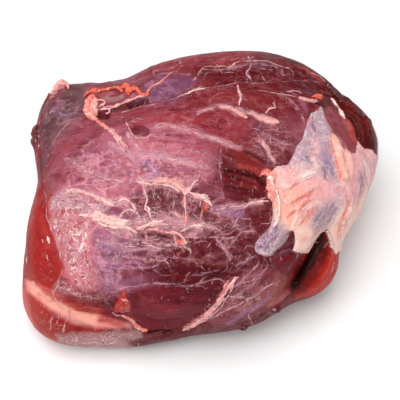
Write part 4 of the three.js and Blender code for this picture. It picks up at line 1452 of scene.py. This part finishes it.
def layGlints(parts):
    chance = random.Random(glintValues["seed"])
    for left, top, right, bottom, count in glintClusters.values():
        for _ in range(count):
            x, y = chance.uniform(left, right), chance.uniform(top, bottom)
            length = chance.uniform(*glintValues["length"])
            lean = chance.uniform(-1, 1) * glintValues["lean"] * length
            bow = chance.uniform(-1, 1) * glintValues["bow"]
            spots = [(x, y), (x + lean / 2 + bow, y + length / 2), (x + lean, y + length)]
            wide, cover = chance.uniform(*glintValues["width"]), chance.uniform(0.5, 1.0)
            layStrand(parts, traced(spots, onPhoto, 0.8), wide, "bone", cover, kink=0.3)


# Thin wisps of fat in clusters, mostly along the fibres, in the same units and areas of the same form.
wispValues = {
    "length": (7, 20),
    "width": (0.25, 0.75),
    "lean": 0.7,               # radians off the fibres
    "bow": 2.5,
    "kinds": ("faint", "white", "rose", "white"),
    "seed": 23,
}
wisps = {
    "net": (100, 224, 200, 262, 30), "boxes": (128, 186, 196, 230, 22), "leftTop": (66, 188, 126, 228, 14),
    "middle": (116, 140, 216, 182, 20), "front": (214, 272, 270, 320, 16),
    "fibrous": (250, 122, 290, 150, 12), "low": (106, 256, 214, 290, 14), "right": (202, 206, 256, 252, 16),
    "back": (150, 62, 290, 80, 10), "left": (62, 150, 112, 186, 10), "underside": (70, 334, 130, 344, 8),
}


def layWisps(parts):
    chance = random.Random(wispValues["seed"])
    for left, top, right, bottom, count in wisps.values():
        for _ in range(count):
            x, y = chance.uniform(left, right), chance.uniform(top, bottom)
            length, turn = chance.uniform(*wispValues["length"]), chance.gauss(0, wispValues["lean"])
            spots = []
            for t in (0, 0.33, 0.67, 1):
                bow = chance.uniform(-1, 1) * wispValues["bow"]
                spots.append((x + length * t * math.cos(turn), y + length * t * math.sin(turn) + bow))
            colour, cover = strandKinds[chance.choice(wispValues["kinds"])]
            layStrand(parts, traced(spots, onPhoto), chance.uniform(*wispValues["width"]), colour, cover)


webParts = newParts()
layGlints(webParts)
layWisps(webParts)
for name, (kind, wide, _) in strands.items():
    colour, cover = strandKinds[kind]
    if kind == "mist":
        layStrand(webParts, strandRoutes[name], wide, colour, cover, 1.0)
    # glints are painted highlights, laid without side branches
    elif kind == "glint":
        layStrand(webParts, strandRoutes[name], wide, colour, cover, kink=0.3)
    else:
        layBundle(webParts, strandRoutes[name], wide, colour, cover)

# The same web on the sides that the photo doesn't show, as wandering lines.
hiddenWeb = {
    "count": 40,
    "width": (0.6, 1.7),
    "length": (18, 60),
    "step": 1.5,
    "along": (-105, 100),      # mm along the roast
    "round": (62, 112),        # degrees round it, from the top
    "lowest": 4,               # mm above the floor
    "bend": 0.06,
    "seed": 11,
}
wander = random.Random(hiddenWeb["seed"])
for _ in range(hiddenWeb["count"]):
    spot = aroundAxis(wander.uniform(*hiddenWeb["along"]),
                      wander.choice((1, 1, 1, -1)) * wander.uniform(*hiddenWeb["round"]))
    if spot is None:
        continue
    spot = np.array(spot) / mm
    heading = np.array([wander.choice((-1, 1)), wander.uniform(-0.6, 0.6), wander.uniform(-0.8, 0.8)])
    route, bend = [spot], 0
    for _ in range(int(wander.uniform(*hiddenWeb["length"]) / hiddenWeb["step"])):
        where, up = snapped(route[-1] + heading / np.linalg.norm(heading) * hiddenWeb["step"])
        heading = heading - up * (heading @ up)
        bend = bend * 0.8 + wander.uniform(-hiddenWeb["bend"], hiddenWeb["bend"])
        heading = heading + np.cross(up, heading) * bend
        if where[2] < hiddenWeb["lowest"] or up @ np.array(lookDown) < -bodyValues["unseen"]:
            break
        route.append(where)
    if len(route) > 6:
        colour, cover = strandKinds[wander.choice(("cream", "rose", "faint", "faint", "pink"))]
        layBundle(webParts, np.array(route), wander.uniform(*hiddenWeb["width"]), colour, cover)


def pieceFrom(name, parts):
    # a piece from its lists of corners and faces
    mesh = bpy.data.meshes.new(name)
    mesh.from_pydata([tuple(v) for v in parts["verts"]], [], parts["faces"])
    piece = bpy.data.objects.new(name, mesh)
    bpy.context.scene.collection.objects.link(piece)
    storeColour(piece, "tint", np.array(parts["tint"]))
    storeVector(piece, "flow", np.array(parts["flow"]))
    for key in ("cover", "core", "rim", "mist"):
        storeNumber(piece, key, np.array(parts[key], float))
    pickOnly(piece)
    bpy.ops.object.mode_set(mode="EDIT")
    bpy.ops.mesh.select_all(action="SELECT")
    bpy.ops.mesh.normals_make_consistent(inside=False)
    bpy.ops.object.mode_set(mode="OBJECT")
    bpy.ops.object.shade_smooth()
    return piece


strandLook = {
    "rough": 0.4,
    "specular": 0.3,
    "bump": 0.0006,            # depth of the finest relief, in m
    "bumpStrength": 0.7,
    "subsurface": 0.1,
    "subsurfaceReach": (1.0, 0.4, 0.3),
    "subsurfaceScale": 0.0015,
}


def fatSurface(f, look, relief, **inputs):
    # soft pale fat with the values of a look
    return f.surface(Specular_IOR_Level=look["specular"], Subsurface_Weight=look["subsurface"],
                     Subsurface_Radius=look["subsurfaceReach"], Subsurface_Scale=look["subsurfaceScale"],
                     Normal=f.bump(relief, look["bump"], look["bumpStrength"]), **inputs)


def strandFinish():
    f = Finish("strandFat")
    where = f.node("ShaderNodeTexCoord", output="Object")
    flow = f.attribute("flow", "Vector")
    speck = f.noise(where, 700, 3, 0.65)
    patchy = f.noise(where, 170, 3, 0.6)
    fibre = f.noise(f.bent(f.scaled(flow, (0.28, 1.5, 1)), where, 260, 0.9), 1.0, 3, 0.6, 0.3)
    aside = f.node("ShaderNodeSeparateXYZ", None, {0: flow}, output="Y")
    inCore = 1 - f.node("ShaderNodeMath", {"operation": "ABSOLUTE"}, {0: aside}) / f.attribute("core")
    solid = inCore * 0.55 + (fibre - 0.5) * 2.4 + (patchy - 0.5) * 2.2 + (speck - 0.5) * 0.8
    rim = f.attribute("rim").within(0.0, 0.35)
    mist = f.attribute("mist")
    haze = patchy.within(0.38, 0.62) * (0.2 + mist * 0.3) + fibre.within(0.46, 0.62) * (0.2 + mist * 0.5)
    wideRim = f.attribute("rim").within(0.0, 0.9)
    alpha = f.maximum(solid.within(-0.05, 0.4) * rim, haze * wideRim) * f.attribute("cover")
    colour = f.attribute("tint", "Color")
    colour = f.mixed(solid.within(0.5, 0.0) * 0.7, colour, flat4("veil"))
    colour = f.mixed(speck.within(0.45, 0.75) * 0.4, colour, flat4("rose"))
    colour = f.mixed(fibre.within(0.5, 0.75) * 0.6, colour, flat4("bone"))
    return fatSurface(f, strandLook, fibre + speck * 0.3, Base_Color=colour,
                      Roughness=strandLook["rough"] + speck * 0.15, Alpha=alpha)


strandsPiece = pieceFrom("fatStrands", webParts)
strandsPiece.data.materials.append(strandFinish())
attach(strandsPiece, "root")
print("strands:", len(webParts["faces"]), "faces")

# Raised torn bits: flaps, knots, cords and rags.
tornValues = {
    "voxel": 0.33 * mm,    # size of the remeshed squares
    "spacing": 0.4,        # distance between the balls of a route, as a share of their radius
    "uneven": 0.5,         # how much their size changes at random
    "smoothUneven": 0.1,   # the same for the colours below, which are wet muscle
    "smoothColours": ("scarlet", "garnet"),
    "relief": 0.5 * mm,    # depth of the fine relief
    "reliefSize": 1.6,     # and its size in mm
    "smoothing": 6,
}
# Each has a colour and a route: pixel x and y, radius in mm, height of its middle above the skin in mm.
torn = {
    "flapBand": ("orange", [
        (84, 98, 1.0, 0.8), (89, 94, 1.3, 1.2), (96, 92.5, 1.2, 1.2), (102, 91.5, 1.0, 1.1),
        (110, 90, 1.0, 1.1), (117, 89.7, 1.1, 1.3), (123, 91.5, 1.4, 1.5),
    ]),
    "flapBlob": ("salmon", [
        (92, 97, 1.8, 0.7), (89, 102, 2.9, 0.5), (88, 107, 3.3, 0.4), (89, 112, 3.2, 0.3),
        (92, 117, 2.3, 0.3), (96, 120, 1.5, 0.4),
    ]),
    "flapInner": ("shell", [
        (96, 99, 1.3, 0.8), (95, 104, 1.8, 0.9), (95, 109, 1.7, 0.9), (96, 114, 1.2, 0.6),
    ]),
    "curl": ("shell", [
        (97, 101, 0.9, 0.6), (103, 101, 0.8, 0.9), (105, 105, 0.8, 1.0), (99, 107, 0.7, 1.0),
    ]),
    "curlTwo": ("blush", [
        (101, 109.5, 0.7, 0.8), (106, 109, 0.9, 1.0), (110, 109.5, 0.9, 1.0), (109.5, 113, 0.9, 0.9),
        (106, 113.5, 0.7, 0.7),
    ]),
    "lumpA": ("orange", [
        (123, 90, 1.5, 1.4), (126, 88, 1.8, 1.8), (129, 89, 2.0, 1.9), (129, 94, 1.3, 1.2),
    ]),
    "lumpB": ("orange", [
        (131, 91, 1.1, 1.3), (136, 90, 1.6, 1.5), (141, 93.5, 1.4, 1.3), (145, 95, 1.0, 1.0),
        (148.5, 95, 1.4, 1.1),
    ]),
    "strandUp": ("salmon", [
        (147, 94, 0.9, 0.6), (151, 88, 0.6, 0.4), (158, 83.6, 0.55, 0.4), (165.5, 78, 0.5, 0.4),
        (172.7, 72, 0.4, 0.3),
    ]),
    "tornEdge": ("shell", [
        (110, 108.5, 0.7, 0.8), (115, 106.5, 0.7, 0.8), (119, 105, 0.8, 0.8), (124, 103, 0.7, 0.8),
        (128, 101.3, 0.9, 0.8), (133, 99.5, 0.8, 0.7), (138, 97.5, 0.8, 0.7), (147, 96, 0.6, 0.6),
    ]),
    "descend": ("salmon", [
        (94, 119, 0.9, 0.2), (99, 122.5, 0.7, 0.2), (104, 126, 1.1, 0.3), (108, 129, 1.0, 0.2),
        (112, 131, 0.6, 0.1),
    ]),
    "descendPink": ("shell", [
        (111, 131, 0.7, 0.1), (116, 134, 0.6, 0.0), (120, 140, 0.6, -0.1), (124, 147, 0.5, -0.1),
        (128, 152, 0.4, -0.1),
    ]),
    "descendTwo": ("blush", [
        (110, 131, 0.6, 0.4), (115, 137, 0.6, 0.3), (120, 146, 0.55, 0.2), (125, 153, 0.45, 0.1),
    ]),
    "corner": ("shell", [
        (52, 94, 0.9, 0.4), (56, 89, 1.4, 0.7), (60, 85, 1.6, 0.9), (64, 83.5, 1.5, 0.9),
        (67, 85, 1.2, 0.6), (68, 88.5, 0.8, 0.3),
    ]),
    "rim": ("brick", [
        (50, 93, 0.6, 0.2), (47, 98, 0.6, 0.2), (43, 108, 0.5, 0.1), (40, 123, 0.5, 0.1),
        (39, 145, 0.45, 0.1), (38, 165, 0.4, 0.1), (38, 179, 0.3, 0.0),
    ]),
    "nub": ("garnet", [
        (39.5, 124, 1.1, 0.2), (36, 129, 2.0, 0.4), (35, 134, 2.5, 0.5), (36, 139, 1.9, 0.3),
        (38, 143.6, 0.9, 0.1),
    ]),
    "tongue": ("scarlet", [
        (125, 289, 0.5, 0.3), (124.5, 293, 1.2, 0.3), (123.5, 298, 2.2, 0.0), (122.5, 303, 3.2, -0.6),
        (122, 308, 3.4, -0.9),
    ]),
    "tongueLeft": ("scarlet", [(120, 301, 1.6, 0.0), (117.5, 306, 2.2, -0.3), (116.5, 310, 2.0, -0.3)]),
    "tongueRight": ("scarlet", [(126, 300, 1.6, 0.0), (127.5, 305, 2.2, -0.3), (128.5, 310, 1.9, -0.3)]),
    "tongueWhite": ("blush", [
        (113, 312, 0.35, 0.4), (115, 314, 0.5, 0.4), (119, 315, 0.45, 0.3), (122, 315, 0.3, 0.2),
    ]),
    "tongueDrip": ("salmon", [
        (122, 315, 0.9, 0.0), (127, 317, 1.3, 0.0), (132, 320, 1.4, 0.0), (136, 325, 1.4, 0.1),
        (141, 329, 1.2, 0.1), (146, 330, 0.7, 0.1),
    ]),
    "diagonal": ("shell", [
        (183, 330, 0.6, 0.1), (192, 325, 1.0, 0.1), (201, 318.5, 1.3, -0.2), (208, 312.5, 1.4, -0.2),
        (214, 306, 1.2, -0.2), (219, 300, 1.2, -0.1), (226, 291, 1.0, 0.0), (231, 283, 0.9, 0.0),
        (235, 277, 0.8, 0.1),
    ]),
    "diagonalSide": ("blush", [
        (188, 330, 0.4, 0.2), (199, 323, 0.5, 0.3), (211, 316, 0.6, 0.2), (221, 306, 0.5, 0.2),
        (229, 294, 0.5, 0.2), (234, 284, 0.4, 0.2),
    ]),
    "diagonalFork": ("blush", [(231, 286, 0.8, 0.1), (235, 280, 0.9, 0.1), (238, 277, 0.6, 0.1)]),
    "diagonalPale": ("blush", [
        (196, 322, 0.6, 0.4), (207, 316, 0.8, 0.6), (216, 307, 0.7, 0.5), (224, 298, 0.6, 0.4),
    ]),
    "heelRag": ("bone", [
        (331, 99, 0.6, 0.3), (335, 104, 1.1, 0.4), (339, 109, 0.8, 0.4), (341, 114, 1.1, 0.5),
        (345, 119, 0.5, 0.3),
    ]),
    "ovalBit": ("orange", [
        (312, 97, 0.8, 0.1), (316, 96, 1.5, 0.1), (320, 96, 1.3, 0.1), (323, 97, 0.6, 0.1),
    ]),
    "nubLow": ("garnet", [(274, 309, 1.2, 0.2), (277, 311, 1.2, 0.3)]),
    "nubLower": ("garnet", [(242, 325, 1.0, 0.2), (245, 327, 1.2, 0.3)]),
    "rimKnobs": ("maroon", [
        (323, 82, 0.9, 0.2), (327, 86, 1.4, 0.3), (331, 90, 1.2, 0.2), (335, 94, 1.5, 0.3),
        (340, 100, 1.1, 0.2),
    ]),
    "tornKnot": ("coral", [
        (202, 203, 0.7, 0.3), (206, 205, 0.9, 0.4), (209, 207, 0.8, 0.3), (205, 209, 0.8, 0.3),
        (208, 211, 0.6, 0.2),
    ]),
    "capLeft": ("salmon", [
        (260, 176, 0.6, 0.2), (265, 173, 1.1, 0.2), (269, 176, 1.5, 0.2), (270, 182, 1.4, 0.2),
        (268, 188, 1.0, 0.2), (272, 194, 1.0, 0.3), (272, 200, 0.8, 0.2),
    ]),
    "capLeftPale": ("bone", [
        (270, 178, 0.4, 0.6), (274, 188, 0.6, 0.7), (278, 198, 0.5, 0.6), (279, 210, 0.5, 0.4),
        (277, 222, 0.5, 0.3), (270, 231, 0.4, 0.2),
    ]),
    "fray": ("blush", [
        (243, 208, 0.3, 0.2), (250, 204, 0.6, 0.3), (256, 203, 0.75, 0.3), (262, 202, 0.83, 0.4),
        (268, 201, 0.68, 0.3),
    ]),
    "bandA": ("shell", [
        (137, 181, 0.5, 0.1), (144, 184, 0.4, 0.1), (152, 184.5, 0.5, 0.2), (160, 182, 0.75, 0.2),
        (168, 181, 0.85, 0.2), (175, 184, 0.8, 0.2), (181, 189, 0.7, 0.3), (185, 193, 0.6, 0.3),
    ]),
    "vOne": ("blush", [
        (143, 185, 0.56, 0.3), (145, 192, 0.42, 0.2), (147, 200, 0.42, 0.2), (145, 208, 0.63, 0.3),
        (149, 213, 0.35, 0.2), (153, 221, 0.28, 0.1),
    ]),
    "vTwo": ("shell", [
        (184, 190, 0.75, 0.5), (185, 198, 0.5, 0.4), (185, 207, 0.42, 0.4), (186, 216, 0.5, 0.3),
        (185, 223, 0.38, 0.2), (184, 229, 0.3, 0.1),
    ]),
    "vThree": ("blush", [
        (186, 194, 0.68, 0.5), (190, 190, 0.68, 0.5), (194, 183, 0.6, 0.4), (199, 180, 0.38, 0.2),
    ]),
    "vFour": ("blush", [
        (190, 193, 0.48, 0.3), (196, 196, 0.72, 0.3), (202, 199, 0.96, 0.3), (208, 201, 0.72, 0.3),
        (212, 206, 0.4, 0.2),
    ]),
    "lowB": ("shell", [
        (138, 230, 0.35, 0.1), (149, 229, 0.42, 0.1), (158, 230, 0.5, 0.2), (167, 232.5, 0.65, 0.2),
        (174, 232, 0.45, 0.2), (181, 236, 0.65, 0.3), (185, 241, 0.6, 0.3),
    ]),
    "lowKnot": ("orange", [(178, 240, 0.7, 0.3), (181, 243, 1.1, 0.4), (184, 246, 0.7, 0.3)]),
    "creamTop": ("shell", [
        (66, 193, 0.3, 0.1), (75, 192, 0.35, 0.1), (85, 193, 0.5, 0.1), (95, 197, 0.4, 0.1),
        (104, 199, 0.5, 0.2), (112, 204, 0.4, 0.1), (120, 206, 0.28, 0.1),
    ]),
    "barb": ("blush", [
        (266, 113, 0.5, 0.3), (270, 109, 0.7, 0.4), (275, 108, 0.5, 0.3), (273, 103, 0.4, 0.2),
    ]),
    "drip": ("blush", [
        (237.5, 86, 0.7, 0.3), (239, 92, 0.8, 0.4), (240.6, 98, 0.7, 0.4), (239, 105, 0.4, 0.2),
    ]),
}


def tornPiece():
    bpy.ops.mesh.primitive_ico_sphere_add(subdivisions=2, radius=1)
    ball = bpy.context.object
    shape, corners = places(ball), [tuple(p.vertices) for p in ball.data.polygons]
    bpy.data.objects.remove(ball)
    verts, faces, centres, colours = [], [], [], []
    for colour, route in torn.values():
        uneven = tornValues["smoothUneven" if colour in tornValues["smoothColours"] else "uneven"]
        flat = np.array(route)
        length = np.linalg.norm(np.diff(flat[:, :2], axis=0), axis=1).sum() * cameraValues["pixelSize"]
        count = int(length / (flat[:, 2].mean() * tornValues["spacing"])) + 2
        fine = rounded(flat, 1.0)
        picks = np.linspace(0, len(fine) - 1, count)
        for t in picks:
            x, y, radius, rise = [np.interp(t, np.arange(len(fine)), fine[:, k]) for k in range(4)]
            spot, up = snapped(np.array(onPhoto(x, y)) / mm)
            radius *= 1 + (cloud(spot[None], 2.0, 91)[0] - 0.5) * 2 * uneven
            sway = np.array([draw.uniform(-1, 1) for _ in range(3)]) * radius * uneven * 0.5
            centre = spot + up * rise + sway
            faces += [tuple(len(verts) + k for k in corner) for corner in corners]
            verts += [tuple(v) for v in (centre + shape * max(radius, 0.3)) * mm]
            centres.append(centre)
            colours.append(hue(colour))
    mesh = bpy.data.meshes.new("tornBits")
    mesh.from_pydata(verts, [], faces)
    piece = bpy.data.objects.new("tornBits", mesh)
    bpy.context.scene.collection.objects.link(piece)
    applied(piece, "REMESH", mode="VOXEL", voxel_size=tornValues["voxel"])
    applied(piece, "SMOOTH", factor=0.5, iterations=tornValues["smoothing"])
    spots = places(piece) / mm
    relief = (clouds(spots, tornValues["reliefSize"], 93) - 0.5) * 2 * tornValues["relief"]
    storePlaces(piece, spots * mm + normals(piece) * relief[:, None])
    nearest = KDTree(len(centres))
    for i, centre in enumerate(centres):
        nearest.insert(centre, i)
    nearest.balance()
    storeColour(piece, "tint", np.array([colours[nearest.find(p)[1]] for p in spots]))
    pickOnly(piece)
    bpy.ops.object.shade_smooth()
    return piece


tornLook = {**strandLook, "rough": 0.34, "specular": 0.35}


def tornFinish():
    f = Finish("tornFat")
    where = f.node("ShaderNodeTexCoord", output="Object")
    speck = f.noise(where, 700, 3, 0.65)
    patchy = f.noise(where, 260, 3, 0.6, 0.8)
    colour = f.attribute("tint", "Color")
    deep = f.mixed(1.0, colour, (0.8, 0.55, 0.56, 1), "MULTIPLY")
    colour = f.mixed(patchy.within(0.52, 0.36) * 0.7, colour, deep)
    colour = f.mixed(patchy.within(0.56, 0.7) * 0.6, colour, flat4("bone"))
    colour = f.mixed(speck.within(0.6, 0.72) * 0.4, colour, flat4("bone"))
    return fatSurface(f, tornLook, speck + patchy, Base_Color=colour,
                      Roughness=tornLook["rough"] + speck * 0.2)


tornBits = tornPiece()
tornBits.data.materials.append(tornFinish())
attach(tornBits, "root")
print("torn bits:", len(tornBits.data.polygons), "faces")

# Floor, lights and world.
stageValues = {
    "floorSize": 6.0,
    "floorHeight": -0.0004,
    "floorColour": (0.93, 0.93, 0.93, 1),
    "skyColour": (1, 1, 1, 1),
    "skyStrength": 0.28,
    "aim": (0, 0, 0.05),       # where the lights point
}
# Lights: place, size in m, watts.
lights = {
    "top": ((-0.22, -0.02, 1.25), 1.1, 17),
    "left": ((-1.0, -0.4, 0.5), 0.5, 3.0),
    "front": ((0.8, -0.9, 0.8), 0.9, 4.5),
}

bpy.ops.mesh.primitive_plane_add(size=stageValues["floorSize"], location=(0, 0, stageValues["floorHeight"]))
floor = bpy.context.object
floor.name = "floor"
floorFinish = Finish("paleFloor")
floor.data.materials.append(floorFinish.surface(Base_Color=stageValues["floorColour"], Roughness=0.7))

world = bpy.data.worlds.new("studio")
bpy.context.scene.world = world
world.use_nodes = True
world.node_tree.nodes["Background"].inputs["Color"].default_value = stageValues["skyColour"]
world.node_tree.nodes["Background"].inputs["Strength"].default_value = stageValues["skyStrength"]

for name, (place, size, watts) in lights.items():
    lamp = bpy.data.lights.new(name, "AREA")
    lamp.size = size
    lamp.energy = watts
    stand = bpy.data.objects.new(name, lamp)
    bpy.context.scene.collection.objects.link(stand)
    stand.location = place
    aim = Vector(stageValues["aim"]) - Vector(place)
    stand.rotation_euler = aim.to_track_quat("-Z", "Y").to_euler()
bpy.context.scene.view_settings.view_transform = "Standard"
print("stage set")
